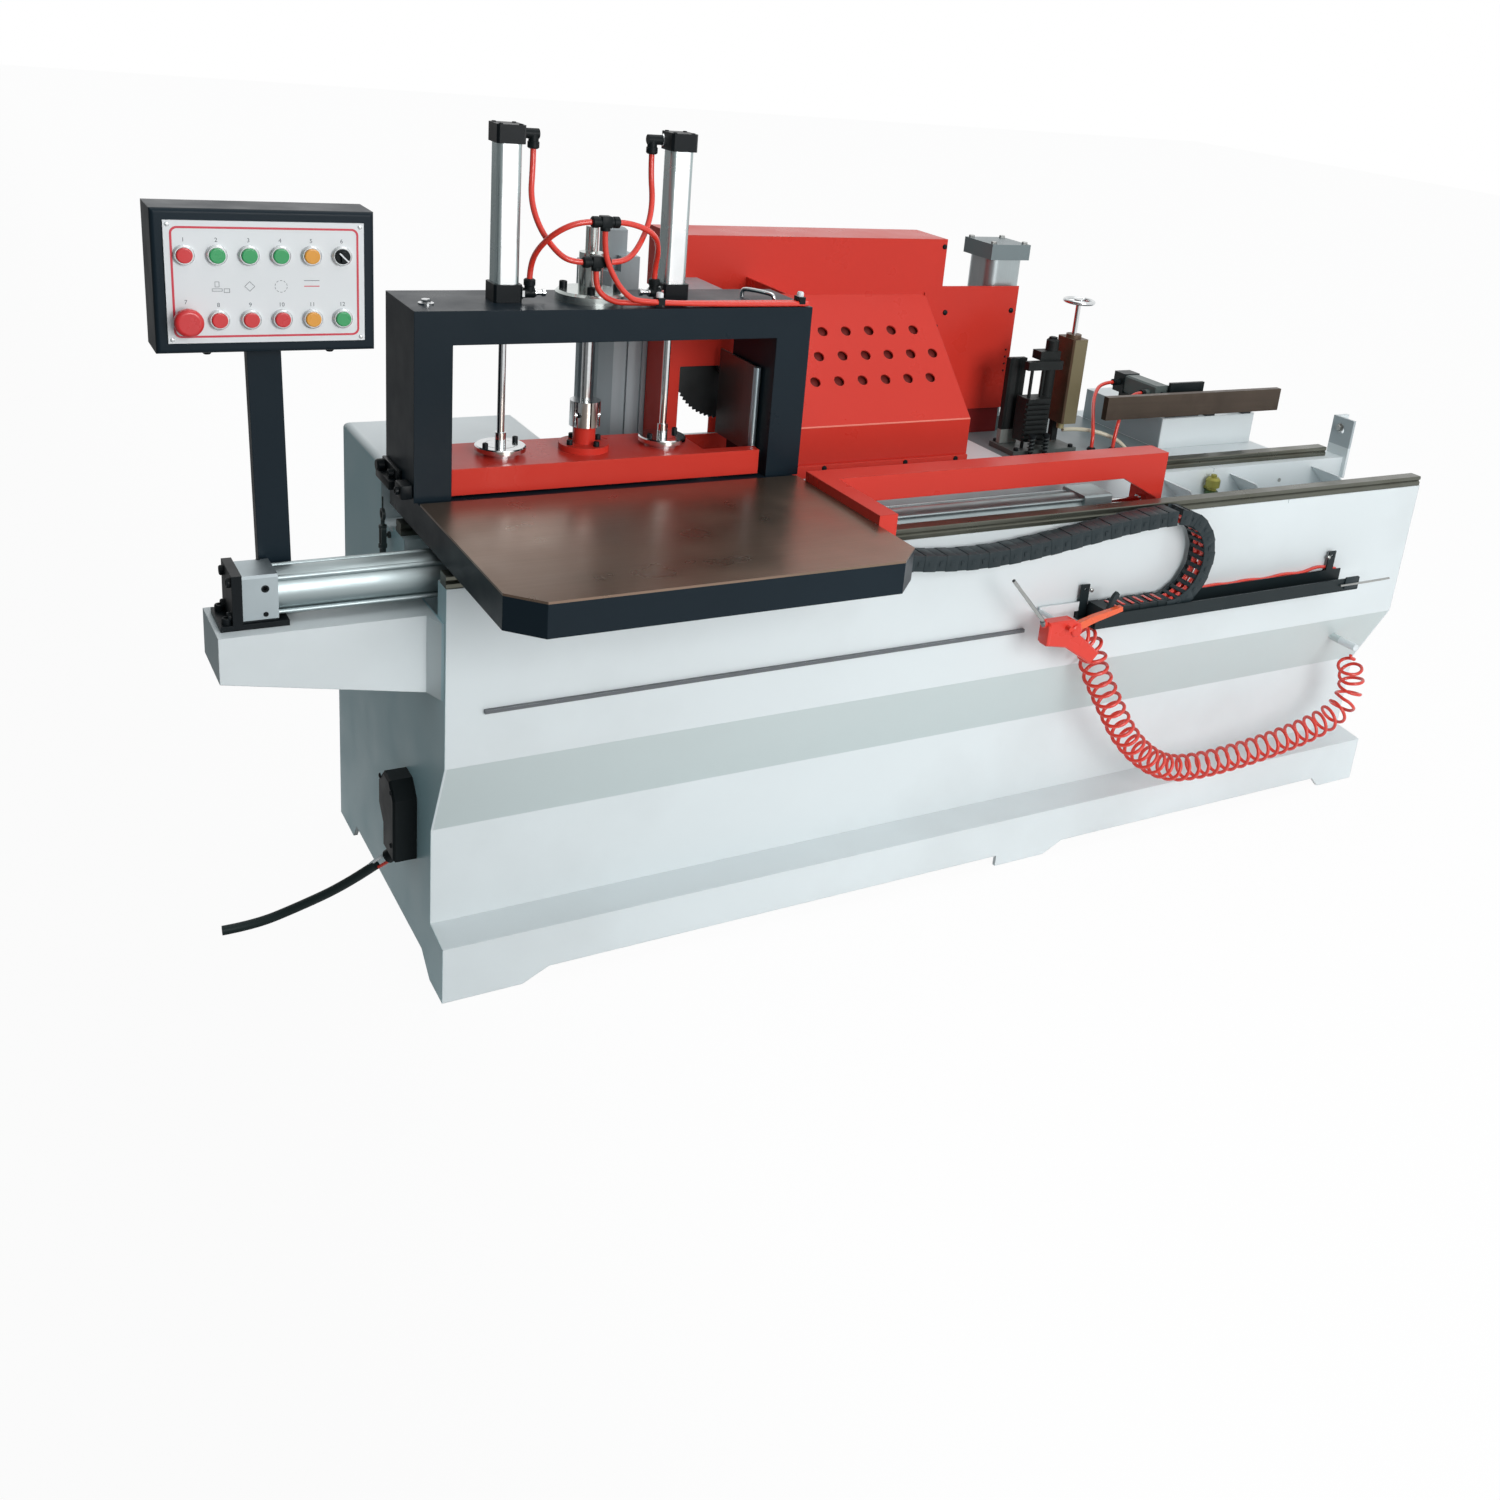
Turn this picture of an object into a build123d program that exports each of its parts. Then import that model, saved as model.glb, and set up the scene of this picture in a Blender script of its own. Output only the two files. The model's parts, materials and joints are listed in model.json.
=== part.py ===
from build123d import *
from math import atan2, cos, degrees, hypot, pi, radians, sin
import os

# Finger joint machine with a sliding clamping table, trim saw, finger cutter and glue unit.
# Millimetres, +Z up. X runs along the rails from the base's left end, Y back from the front panel.

# Fits
clearance = 0.3
running_fit = 0.05

# Base
base_length = 2335.0
front_depth = 306.0
base_depth = 645.0
heel_step = 67.0
heel_height = 400.0
plate = 8.0
plinth_height = 110.0
waist_bottom = 118.0
waist_depth = 74.0
waist_top = 306.0
panel_bottom = 462.0
rail_seat = 782.0
trough_front = 44.0
trough_back = 236.0
trough_floor = 640.0
deck_height = 772.0
deck_right = 2215.0
low_deck_height = 640.0
shelf_left = 345.0
shelf_depth = 780.0
shelf_bottom = 600.0
foot_length = 146.0
middle_foot = 131.0
middle_foot_x = 1207.0
arch_rise = 25.0
arch_run = 50.0
end_foot_front = 75.0
end_foot_rear = 105.0
end_arch_rise = 35.0
rib_count = 5
ribs_ahead = 2
rib_pitch = 440.0
rib_gap = 30.0
rib_rise = 75.0
rib_lean = 60.0
strip_left = 65.0
strip_length = 1120.0
strip_height = 556.0
strip_size = 7.0
anchor_pad = 76.0
anchor_pad_thickness = 10.0
anchor_radius = 7.0
anchor_inset_x = 46.0
anchor_inset_y = 46.0
stop_front = 226.0
stop_width = 64.0
stop_height = 876.0
stop_drop = 52.0
stop_flange = 46.0
stop_hole = 8.0
cabinet_length = 330.0
cabinet_front = 380.0
cabinet_height = 105.0
cabinet_round = 12.0

# Rails and carriage
rail_width = 30.0
rail_height = 22.0
rail_groove = 3.5
rail_front_y = 17.0
rail_rear_y = 271.0
rear_rail_short = 43.0
table_left = 6.0
table_length = 711.0
table_front = -294.0
table_rear = 164.0
table_height = 870.0
table_plate = 4.0
table_skirt = 58.0
table_web = 18.0
table_wall = 14.0
table_chamfer = 50.0
bearing_length = 110.0
bearing_width = 60.0
bearing_inset = 30.0
bearing_gap = 4.0

# Portal and press
portal_overhang_left = 6.0
portal_overhang_right = 11.0
portal_front = 180.0
portal_depth = 166.0
portal_height = 1186.0
portal_post = 63.0
portal_post_right = 69.0
portal_beam = 56.0
press_y = 263.0
press_left_x = 174.0
press_right_x = 481.0
guide_x = 328.0
press_front = 190.0
press_depth = 145.0
press_bar_height = 46.5
press_side_gap = 3.0
press_notch = 104.0
press_lip = 25.0
press_lift_gap = 0.5
press_rod = 6.5
flange_radius = 32.0
flange_thickness = 9.0
flange_step = 8.0
flange_step_radius = 26.0
collar_radius = 9.5
collar_height = 22.0
guide_rod = 8.6
boss_flange_radius = 45.0
boss_flange_thickness = 12.0
boss_radius = 20.0
boss_height = 44.0
split_collar_radius = 27.5
split_collar_height = 46.0
split_collar_slot = 3.0
split_collar_hole = 5.0
bush_flange_radius = 60.0
bush_flange_thickness = 17.0
bush_radius = 21.0
bush_height = 65.0
sleeve_radius = 11.0
sleeve_height = 44.0
cap_size = 49.0
cap_height = 30.0
tube_size = 42.0
tube_round = 10.0
tube_bore = 18.0
cylinder_height = 288.0
piston_height = 20.0
fence_thickness = 5.0
fence_gap = 9.0
fence_front = 228.0
fence_rear = 380.0
fence_bottom = 897.0
fence_top = 1064.0
fence_bar = 7.0
fence_pad = 40.0

# Push frame and drive cylinder
frame_height = 888.0
frame_depth = 50.0
arm_width = 38.0
arm_front = -130.0
push_beam_front = 75.0
push_beam_rear = 130.0
leg_x = 1563.0
leg_thickness = 15.0
leg_bottom = 738.0
leg_rear = 158.0
cylinder_y = 115.0
cylinder_z = 767.0
cylinder_rear = -290.0
rear_cap_length = 53.0
drive_cap = 76.0
front_cap_x = 1366.0
front_cap_length = 74.0
barrel_radius = 35.0
barrel_bore = 31.5
tie_rod = 4.0
tie_spacing = 28.0
drive_rod_radius = 12.5
drive_thread = 10.0
drive_piston = 40.0
nut_radius = 17.0
nut_height = 14.0
tray_length = 331.0
tray_width = 130.0
tray_top = 720.0
tray_end_drop = 76.0
tray_root_drop = 140.0
tray_flare = 16.0
tray_flare_front = 4.0
foot_plate = 9.0
foot_back = 15.0
foot_reach = 68.0

# Controls
box_front = 120.0
box_left = -384.0
box_width = 307.0
box_bottom = 1141.0
box_height = 207.0
box_depth = 82.0
box_wall = 2.5
box_round = 6.0
face_margin = 16.0
face_thickness = 3.0
face_lap = 8.0
button_columns = 6
button_pitch = 43.4
button_rows = 2
button_row_pitch = 93.0
button_drop = 7.0
button_offset = 3.5
button_radius = 11.0
button_stand = 10.0
button_body = 26.0
bezel_radius = 14.5
bezel_height = 6.0
mushroom_radius = 20.0
mushroom_height = 12.0
mushroom_gap = 9.0
selector_bar = 6.0
post_left = -256.0
post_width = 49.0
post_lean = 8.0
post_depth = 22.0
post_wall = 3.0

# Junction box and mains cable
junction_depth = 42.0
junction_front = 155.0
junction_width = 96.0
junction_bottom = 205.0
junction_height = 150.0
junction_cut = 28.0
junction_neck = 68.0
junction_neck_height = 46.0
gland_radius = 13.0
cable_radius = 9.0
cable_points = [(-36, 210, 186), (-100, 262, 110), (-174, 322, 44), (-243, 346, 10), (-300, 350, 9)]

# Hood, saw and spindle
hood_front = 420.0
hood_left = 838.0
hood_right = 1303.0
hood_fold = 881.0
hood_top = 1111.0
hood_sheet = 4.0
hood_box_left = 669.0
hood_box_right = 1348.0
hood_box_height = 125.0
hood_box_depth = 130.0
hole_radius = 12.0
hole_pitch = 59.0
hole_rows = 3
hole_row_pitch = 62.0
hole_first_row = 108.0
hole_first_x = 940.0
hole_count = 6
side_plate_right = 1570.0
side_plate_bottom = 833.0
side_plate_top = 1129.0
skirt_inset = 10.0
skirt_lap = 20.0
baffle_gap = 60.0
baffle_low = 845.0
baffle_high = 1060.0
guard_left = 540.0
guard_leg = 38.0
guard_front = 405.0
guard_depth = 71.0
guard_bottom = 1024.0
guard_top = 1150.0
saw_x = 684.0
saw_z = 1028.0
saw_radius = 116.0
saw_thickness = 4.0
saw_teeth = 72
tooth_depth = 5.0
tooth_back = 0.62
arbor_radius = 12.5
saw_motor_radius = 62.0
saw_motor_length = 170.0
motor_x = 524.0
motor_y = 560.0
motor_width = 150.0
motor_depth = 160.0
motor_shoulder = 1130.0
motor_corner = 22.0
motor_flutes = 3
flute_depth = 6.0
motor_bore = 90.0
cover_width = 67.0
cover_top = 1192.0
block_width = 38.0
block_depth = 60.0
block_top = 1221.0
motor_cap = 40.0
motor_cap_top = 1272.0
spindle_x = 1090.0
spindle_y = 575.0
spindle_radius = 20.0
housing_radius = 45.0
housing_flange = 75.0
housing_bottom = 720.0
housing_top = 862.0
cutter_bottom = 872.0
cutter_count = 6
cutter_pitch = 12.0
cutter_thickness = 7.0
cutter_radius = 70.0
pulley_radius = 45.0
pulley_height = 30.0
pulley_bottom = 662.0
belt_thickness = 6.0
duct_radius = 62.5
duct_length = 60.0
duct_x = 1100.0

# Glue unit, lift cylinder, pump box and stop bar
lift_x = 1540.0
lift_y = 716.0
lift_cap = 112.0
lift_cap_height = 36.0
lift_tube = 98.0
lift_top = 1224.0
glue_y = 500.0
glue_left = 1464.0
glue_right = 1650.0
glue_plate = 12.0
glue_plate_depth = 96.0
column_x = 1572.0
column_radius = 16.0
column_top = 1010.0
knob_radius = 15.0
knob_height = 27.0
arm_height = 20.0
arm_length = 84.0
arm_reach = 42.0
head_width = 66.0
head_depth = 44.0
head_height = 102.0
head_gap = 20.0
head_slot = 6.0
head_rod = 4.0
flap_left = 1472.0
flap_width = 49.0
flap_gap = 20.0
flap_thickness = 14.0
flap_foot = 48.0
flap_top = 988.0
flap_wave = 5.0
tank_x = 1632.0
tank_width = 44.0
tank_depth = 64.0
tank_bottom = 838.0
tank_height = 201.0
spout_radius = 9.0
wheel_radius = 38.0
wheel_rim = 5.0
wheel_rise = 85.0
wheel_spindle = 6.0
pump_left = 1893.0
pump_width = 313.0
pump_front = 430.0
pump_rear = 722.0
pump_height = 76.0
bar_left = 1670.0
bar_length = 567.0
bar_front = 388.0
bar_thickness = 16.0
bar_bottom = 866.0
bar_height = 55.0
pin_radius = 7.0
pin_length = 76.0
pin_spacing = 125.0
pin_first_x = 2050.0
pin_rise = 16.0
guide_block = 30.0
guide_block_depth = 50.0
slide_drop = 18.0
small_x = 1893.0
small_size = 44.0
small_gap = 20.0
small_length = 112.0
small_cap = 38.0
small_cap_size = 48.0
small_foot = 30.0
angle_left = 1908.0
angle_length = 110.0
angle_top = 934.0
angle_thickness = 8.0
angle_foot = 26.0
hose_radius = 5.0
hose_run = 50.0
hose_reach = 150.0
hose_rise = 25.0
port_radius = 8.0
port_length = 12.0
rear_hose_reach = 151.0
rear_hose_front = 120.0
stop_hose = 4.5
stop_hose_bow = [(0, 0, 0), (0.3, 0, 0), (0.62, 0.3, 0.16), (0.84, 0.66, 0.4), (0.96, 0.92, 0.68)]
front_port_y = 25.0
front_hose_reach = 96.0
front_hose_front = 28.0

# Drag chain
chain_y = -38.0
chain_width = 48.0
chain_height = 37.0
chain_pitch = 25.0
chain_step = 2.0
bend_x = 1512.0
bend_radius = 100.0
chain_floor = 573.0
chain_start_x = 1335.0
chain_end_gap = 27.0
chain_end_z = 770.0
chain_sag_x = 1010.0
chain_sag_z = 748.0
duct_left = 1316.0
duct_right = 2105.0
duct_sheet = 3.0
duct_wall = 30.0
tab_width = 22.0
tab_height = 76.0
tab_inset = 28.0
tab_hole = 3.0

# Air gun and curly hose
gun_thickness = 24.0
gun_x = 1172.0
gun_z = 613.0
gun_outline = [(0, -50), (0, 0), (62, 0), (84, -12), (84, -36), (144, -84), (124, -106), (52, -60)]
gun_peg = (46.0, -14.0)
gun_pivot = (70.0, -24.0)
gun_slot = 14.0
peg_radius = 5.0
nozzle_radius = 3.0
nozzle_tip = (-97.0, 96.0)
lever_outline = [(-8, -7), (-8, 7), (50, 22), (122, 34), (124, 24), (56, 8), (10, -7)]
lever_thickness = 11.0
lever_pin = 3.0
curl_radius = 29.0
curl_tube = 4.0
curl_count = 38
curl_points = [(1386, -70, 400), (1483, -52, 281), (1612, -42, 188), (1736, -38, 167)]
curl_points += [(1926, -38, 176), (2118, -38, 206), (2194, -38, 250), (2200, -38, 312)]
hose_end_x = 2178.0
hose_boss = 9.0
hose_boss_z = 402.0

# Air fittings and tubes on the portal
fitting_radius = 8.5
air_tube = 5.0
elbow_reach_high = 23.0
elbow_reach_low = 15.0
elbow_back_high = 8.0
elbow_back_low = -14.0
elbow_drop = 20.0
tee_half = 20.0
tee_drop = 14.0
tee_low_y = 199.0
tee_high_y = 184.0
tee_low_z = 1262.0
tee_high_z = 1331.0
tee_low_shift = -17.0
tee_high_shift = -10.0
tee_lead = 25.0
high_bow_left = [(0.0, 0.0, 0.2), (-0.11, 0.2, 0.47), (0.01, 0.5, 0.72), (0.31, 0.86, 0.915)]
high_bow_right = [(0.0, 0.0, 0.2), (0.02, 0.27, 0.47), (0.2, 0.62, 0.7), (0.5, 0.93, 0.92)]
low_bow = [(0.0, 0.0, 0.21), (0.04, 0.32, 0.51), (0.27, 0.84, 0.83)]
supply_bow_high = [(0.0, 0.0, 0.25), (0.12, 0.35, 0.52), (0.36, 0.75, 0.82), (0.72, 1.0, 1.0)]
supply_bow_low = [(0.0, 0.0, 0.33), (0.07, 0.7, 0.66), (0.24, 1.0, 0.88), (0.5, 1.0, 1.0)]
clip_first_x = 421.0
clip_last_x = 700.0
clip_width = 12.0
supply_high_y = 185.5
supply_low_y = 197.0

nodes = {}

# Places that follow from these sizes
heel_depth = base_depth + heel_step
table_right = table_left + table_length
portal_left = table_left - portal_overhang_left
portal_right = table_right + portal_overhang_right
window_right = portal_right - portal_post_right
fence_x = window_right - fence_gap
chain_end_x = table_right - chain_end_gap
wheel_height = tank_bottom + tank_height + wheel_rise
tee_low_x = guide_x + tee_low_shift
tee_high_x = guide_x + tee_high_shift


def block(x, y, z):
    """A box between pairs of limits."""
    size = Box(x[1] - x[0], y[1] - y[0], z[1] - z[0])
    return Pos((x[0] + x[1]) / 2, (y[0] + y[1]) / 2, (z[0] + z[1]) / 2) * size


def bar(start, direction, length, radius):
    """A round bar from a point along a direction."""
    shape = Cylinder(radius, length, align=(Align.CENTER, Align.CENTER, Align.MIN))
    return Plane(origin=start, z_dir=direction) * shape


def across_y(points, y):
    """A profile in X and Z, drawn between two Y limits."""
    face = make_face(Polyline(*points, close=True))
    ground = Plane(origin=(0, y[0], 0), x_dir=(1, 0, 0), z_dir=(0, -1, 0))
    return extrude(ground * face, y[0] - y[1])


def across_x(points, x):
    """A profile in Y and Z, drawn between two X limits."""
    face = make_face(Polyline(*points, close=True))
    ground = Plane(origin=(x[0], 0, 0), x_dir=(0, 1, 0), z_dir=(1, 0, 0))
    return extrude(ground * face, x[1] - x[0])


def across_z(points, z):
    """A profile in X and Y, drawn between two Z limits."""
    face = make_face(Polyline(*points, close=True))
    return extrude(Pos(0, 0, z[0]) * face, z[1] - z[0])


def tube_along(points, bend, radius):
    """A round tube on straight runs joined by arcs."""
    path = FilletPolyline(*points, radius=bend)
    start = Vector(*points[0])
    ahead = Vector(*points[1]) - start
    return sweep(Plane(origin=start, z_dir=ahead) * Circle(radius), path=path)


# Base weldment
def base_frame():
    section = [(0, 0), (0, plinth_height), (waist_depth, waist_bottom), (waist_depth, waist_top)]
    section += [(0, panel_bottom), (0, rail_seat), (trough_front, rail_seat), (trough_front, trough_floor)]
    section += [(trough_back, trough_floor), (trough_back, rail_seat), (front_depth, rail_seat)]
    section += [(front_depth, 0)]
    profile = make_face(Polyline(*section, close=True))
    inside = offset(profile, -plate, kind=Kind.INTERSECTION)
    upright = Plane(origin=(0, 0, 0), x_dir=(0, 1, 0), z_dir=(1, 0, 0))
    front = extrude(upright * profile, base_length)
    front -= Pos(plate, 0, 0) * extrude(upright * inside, base_length - 2 * plate)
    room_x = (plate, base_length - plate)
    front -= block(room_x, (plate, front_depth - plate), (-plate, 2 * plate))

    rear_y = (front_depth - plate, base_depth)
    room_y = (front_depth, base_depth - plate)
    rear = block((0, deck_right), rear_y, (0, deck_height))
    rear += block((deck_right - plate, base_length), rear_y, (0, low_deck_height))
    rear -= block((plate, deck_right - plate), room_y, (-plate, deck_height - plate))
    rear -= block((deck_right - 2 * plate, base_length - plate), room_y, (-plate, low_deck_height - plate))
    shelf = block((shelf_left, deck_right), (base_depth - plate, shelf_depth), (shelf_bottom, deck_height))
    shelf_room_x = (shelf_left + plate, deck_right - plate)
    shelf_room_z = (shelf_bottom - plate, deck_height - plate)
    shelf -= block(shelf_room_x, (base_depth, shelf_depth - plate), shelf_room_z)
    heel = block((0, base_length), (base_depth - plate, heel_depth), (0, heel_height))
    heel_room_y = (base_depth, heel_depth - plate)
    heel -= block((plate, base_length - plate), heel_room_y, (-plate, heel_height - plate))
    body = front + rear + shelf + heel

    foot_right = base_length - foot_length + arch_run / 2
    middle_right = middle_foot_x + middle_foot
    under = -plate
    arch = [(foot_length, under), (foot_length, 0), (foot_length + arch_run, arch_rise)]
    arch += [(middle_foot_x, arch_rise), (middle_foot_x, under)]
    body -= across_y(arch, (-plate, shelf_depth))
    arch = [(middle_right, under), (middle_right, 0), (middle_right + arch_run, arch_rise)]
    arch += [(foot_right - arch_run / 2, arch_rise), (foot_right, 0), (foot_right, under)]
    body -= across_y(arch, (-plate, shelf_depth))
    rear_foot = heel_depth - end_foot_rear
    arch = [(end_foot_front, under), (end_foot_front, 0), (end_foot_front + arch_run, end_arch_rise)]
    arch += [(rear_foot - arch_run / 2, end_arch_rise), (rear_foot, 0), (rear_foot, under)]
    body -= across_x(arch, (-plate, base_length + plate))

    for x in anchor_x:
        for y in anchor_y:
            pad = Pos(x, y, anchor_pad_thickness / 2) * Box(anchor_pad, anchor_pad, anchor_pad_thickness)
            body += pad
    for x in anchor_x:
        for y in anchor_y:
            body -= bar((x, y, -plate), (0, 0, 1), 4 * plate, anchor_radius)

    for index in range(rib_count):
        x = front_cap_x + front_cap_length + rib_gap + (index + ribs_ahead - rib_count) * rib_pitch
        rib = [(x, trough_floor), (x + rib_lean, trough_floor + rib_rise)]
        rib += [(x + rib_lean + plate, trough_floor + rib_rise), (x + plate, trough_floor)]
        body += across_y(rib, (trough_front, trough_back))
    strip_x = (strip_left, strip_left + strip_length)
    body += block(strip_x, (-strip_size, 0), (strip_height, strip_height + strip_size))

    end = base_length
    stop_back = stop_front + stop_width
    stop_z = (rail_seat - stop_drop, stop_height)
    stop = block((end, end + plate), (stop_front, stop_back), stop_z)
    stop += block((end, end + stop_flange), (stop_back - plate, stop_back), stop_z)
    hole_y = stop_front + stop_width / 2
    stop -= bar((end - plate, hole_y, stop_height - stop_width / 2), (1, 0, 0), 3 * plate, stop_hole)
    body += stop

    slope = waist_depth / (panel_bottom - waist_top)
    boss_wall = (panel_bottom - hose_boss_z) * slope
    boss_length = boss_wall - chain_y + hose_boss + plate / 2
    body += bar((hose_end_x, chain_y - hose_boss, hose_boss_z), (0, 1, 0), boss_length, hose_boss)

    deck_under = deck_height - 2 * plate
    body -= bar((motor_x, motor_y, deck_under), (0, 0, 1), 4 * plate, arbor_radius + plate)
    body -= bar((spindle_x, spindle_y, deck_under), (0, 0, 1), 4 * plate, housing_radius + clearance)
    return body


anchor_x = (anchor_inset_x, base_length - anchor_inset_x)
anchor_y = (anchor_inset_y, heel_depth - anchor_inset_y)


def rear_cabinet():
    top = deck_height + cabinet_height
    shell = block((0, cabinet_length), (cabinet_front, base_depth), (deck_height, top))
    shell = fillet(shell.edges().group_by(Axis.Z)[-1], cabinet_round)
    room_x = (plate, cabinet_length - plate)
    room_y = (cabinet_front + plate, base_depth - plate)
    return shell - block(room_x, room_y, (deck_height - plate, top - plate))


nodes["base_frame"] = base_frame() + rear_cabinet()


def cylinder_tray():
    front = cylinder_y - tray_width / 2
    outline = [(-tray_length, tray_top - tray_end_drop), (-tray_length, tray_top), (0, tray_top)]
    outline += [(0, tray_top - tray_root_drop)]
    body = across_y(outline, (front, front + tray_width))
    lean = (tray_root_drop - tray_end_drop) / tray_length
    under = tray_top - tray_root_drop - plate
    room = [(plate - tray_length, under), (plate - tray_length, tray_top - plate)]
    room += [(plate, tray_top - plate), (plate, under)]
    body -= across_y(room, (front + plate, front + tray_width - plate))
    flare = [(-tray_flare, front), (0, tray_flare_front), (0, front)]
    root_z = (tray_top - tray_root_drop + lean * tray_flare, tray_top)
    return body + across_z(flare, root_z)


nodes["cylinder_tray"] = cylinder_tray()

rail_top = rail_seat + rail_height


def rail(y, length):
    half = rail_width / 2
    middle = rail_height / 2
    edge = rail_groove / 2
    left = [(-half, 0), (-half, middle - rail_groove), (rail_groove - half, middle)]
    left += [(-half, middle + rail_groove), (-half, rail_height - edge), (edge - half, rail_height)]
    right = [(-across, up) for across, up in reversed(left)]
    points = [(y + across, rail_seat + up) for across, up in left + right]
    return across_x(points, (0, length))


nodes["guide_rails"] = [rail(rail_front_y, base_length), rail(rail_rear_y, base_length - rear_rail_short)]


# Drive cylinder and its feet
def drive_cylinder():
    tube_start = cylinder_rear + rear_cap_length
    half = drive_cap / 2
    cap_y = (cylinder_y - half, cylinder_y + half)
    cap_z = (cylinder_z - half, cylinder_z + half)
    body = block((cylinder_rear, tube_start), cap_y, cap_z)
    body += block((front_cap_x, front_cap_x + front_cap_length), cap_y, cap_z)
    body = chamfer(body.edges().filter_by(Axis.X), tie_rod)
    span = front_cap_x - tube_start
    body += bar((tube_start, cylinder_y, cylinder_z), (1, 0, 0), span, barrel_radius)
    for side in (-tie_spacing, tie_spacing):
        for up in (-tie_spacing, tie_spacing):
            body += bar((tube_start, cylinder_y + side, cylinder_z + up), (1, 0, 0), span, tie_rod)
    body -= bar((tube_start, cylinder_y, cylinder_z), (1, 0, 0), span, barrel_bore + running_fit)
    bore = drive_rod_radius + running_fit
    bore_length = front_cap_length + 2 * plate
    return body - bar((front_cap_x - plate, cylinder_y, cylinder_z), (1, 0, 0), bore_length, bore)


nodes["drive_cylinder"] = drive_cylinder()


def drive_feet():
    half = drive_cap / 2
    back = cylinder_rear - foot_back
    foot_y = (cylinder_y - half - tie_rod, cylinder_y + half + tie_rod)
    rear = block((back - 2 * foot_plate, cylinder_rear + foot_reach), foot_y, (tray_top, cylinder_z - half))
    rear += block((back, cylinder_rear), foot_y, (tray_top, cylinder_z + half + tie_rod))
    for side in (-tie_spacing, tie_spacing):
        for up in (-tie_spacing, tie_spacing):
            rear += bar((back - tie_rod, cylinder_y + side, cylinder_z + up), (1, 0, 0), tie_rod, 2 * tie_rod)
    saddle_x = (front_cap_x + plate, front_cap_x + front_cap_length - plate)
    saddle = block(saddle_x, (cylinder_y - half, cylinder_y + half), (trough_floor, cylinder_z - half))
    return [rear, saddle]


nodes["drive_feet"] = drive_feet()


# Controls on their post
box_x = (box_left, box_left + box_width)
box_z = (box_bottom, box_bottom + box_height)
face_back = box_front
face_front = box_front - face_thickness
face_x = (box_left + face_margin, box_left + box_width - face_margin)
face_z = (box_bottom + face_margin, box_bottom + box_height - face_margin)
button_left = box_left + box_width / 2 - button_offset - (button_columns - 1) * button_pitch / 2
button_low = box_bottom + box_height / 2 - button_drop - (button_rows - 1) * button_row_pitch / 2
button_places = []
for row in range(button_rows):
    for column in range(button_columns):
        z = button_low + (button_rows - 1 - row) * button_row_pitch
        button_places.append((button_left + column * button_pitch, z))
selector_place = button_places[button_columns - 1]
stop_place = button_places[button_columns]
push_places = [place for place in button_places if place not in (selector_place, stop_place)]


def control_post():
    tray_rear = cylinder_y + tray_width / 2
    post_y = (tray_rear - post_depth, tray_rear)
    post_right = post_left + post_width
    foot_left = post_left + post_lean
    outline = [(foot_left, tray_top), (post_left, box_bottom), (post_right, box_bottom)]
    outline += [(foot_left + post_width, tray_top)]
    post = across_y(outline, post_y)
    room = [(foot_left + post_wall, tray_top), (post_left + post_wall, box_bottom)]
    room += [(post_right - post_wall, box_bottom), (foot_left + post_width - post_wall, tray_top)]
    post -= across_y(room, (post_y[0] + post_wall, post_y[1] - post_wall))
    foot_x = (foot_left - plate, foot_left + post_width + plate)
    post += block(foot_x, post_y, (tray_top, tray_top + post_wall))
    cap_x = (post_left - 2 * plate, post_right + 2 * plate)
    post += block(cap_x, (post_y[0] - plate, post_y[1] + plate), (box_bottom - post_wall, box_bottom))
    return post


nodes["control_post"] = control_post()


def control_box():
    shell = block(box_x, (box_front, box_front + box_depth), box_z)
    shell = fillet(shell.edges().group_by(Axis.Y)[0], box_round)
    room_x = (box_x[0] + box_wall, box_x[1] - box_wall)
    room_z = (box_z[0] + box_wall, box_z[1] - box_wall)
    shell -= block(room_x, (box_front + box_wall, box_front + box_depth - box_wall), room_z)
    window_x = (face_x[0] + face_lap, face_x[1] - face_lap)
    window_z = (face_z[0] + face_lap, face_z[1] - face_lap)
    return shell - block(window_x, (box_front - plate, box_front + plate), window_z)


nodes["control_box"] = control_box()


def control_face():
    face = block(face_x, (face_front, face_back), face_z)
    for x, z in button_places:
        face -= bar((x, face_front - plate, z), (0, 1, 0), 3 * plate, button_radius + clearance)
    return face


nodes["control_face"] = control_face()


def bezel(x, z):
    ring = bar((x, face_front - bezel_height, z), (0, 1, 0), bezel_height, bezel_radius)
    ring = chamfer(ring.edges().group_by(Axis.Y)[0], bezel_height / 3)
    hole = bar((x, face_front - 2 * bezel_height, z), (0, 1, 0), 3 * bezel_height, button_radius + clearance)
    return ring - hole


nodes["button_bezels"] = [bezel(x, z) for x, z in button_places]


def push_button(x, z):
    body = bar((x, face_front - button_stand, z), (0, 1, 0), button_stand + button_body, button_radius)
    return fillet(body.edges().group_by(Axis.Y)[0], button_radius / 6)


for index, place in enumerate(push_places):
    nodes[f"push_button_{index + 1}"] = push_button(*place)


def emergency_stop(x, z):
    back = face_front - bezel_height - mushroom_gap
    head = bar((x, back - mushroom_height, z), (0, 1, 0), mushroom_height, mushroom_radius)
    head = fillet(head.edges().group_by(Axis.Y)[0], mushroom_height / 2)
    stem = bezel_height + mushroom_gap + button_body
    return head + bar((x, back, z), (0, 1, 0), stem, button_radius)


nodes["emergency_stop"] = emergency_stop(*stop_place)


def selector_switch(x, z):
    knob = push_button(x, z)
    front = face_front - button_stand
    half = selector_bar / 2
    reach = button_radius - half
    return knob + block((x - half, x + half), (front - selector_bar, front), (z - reach, z + reach))


nodes["selector_switch"] = selector_switch(*selector_place)


# Junction box and mains cable
cable_start = Vector(*cable_points[0])
cable_ahead = (Vector(*cable_points[1]) - cable_start).normalized()


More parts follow.
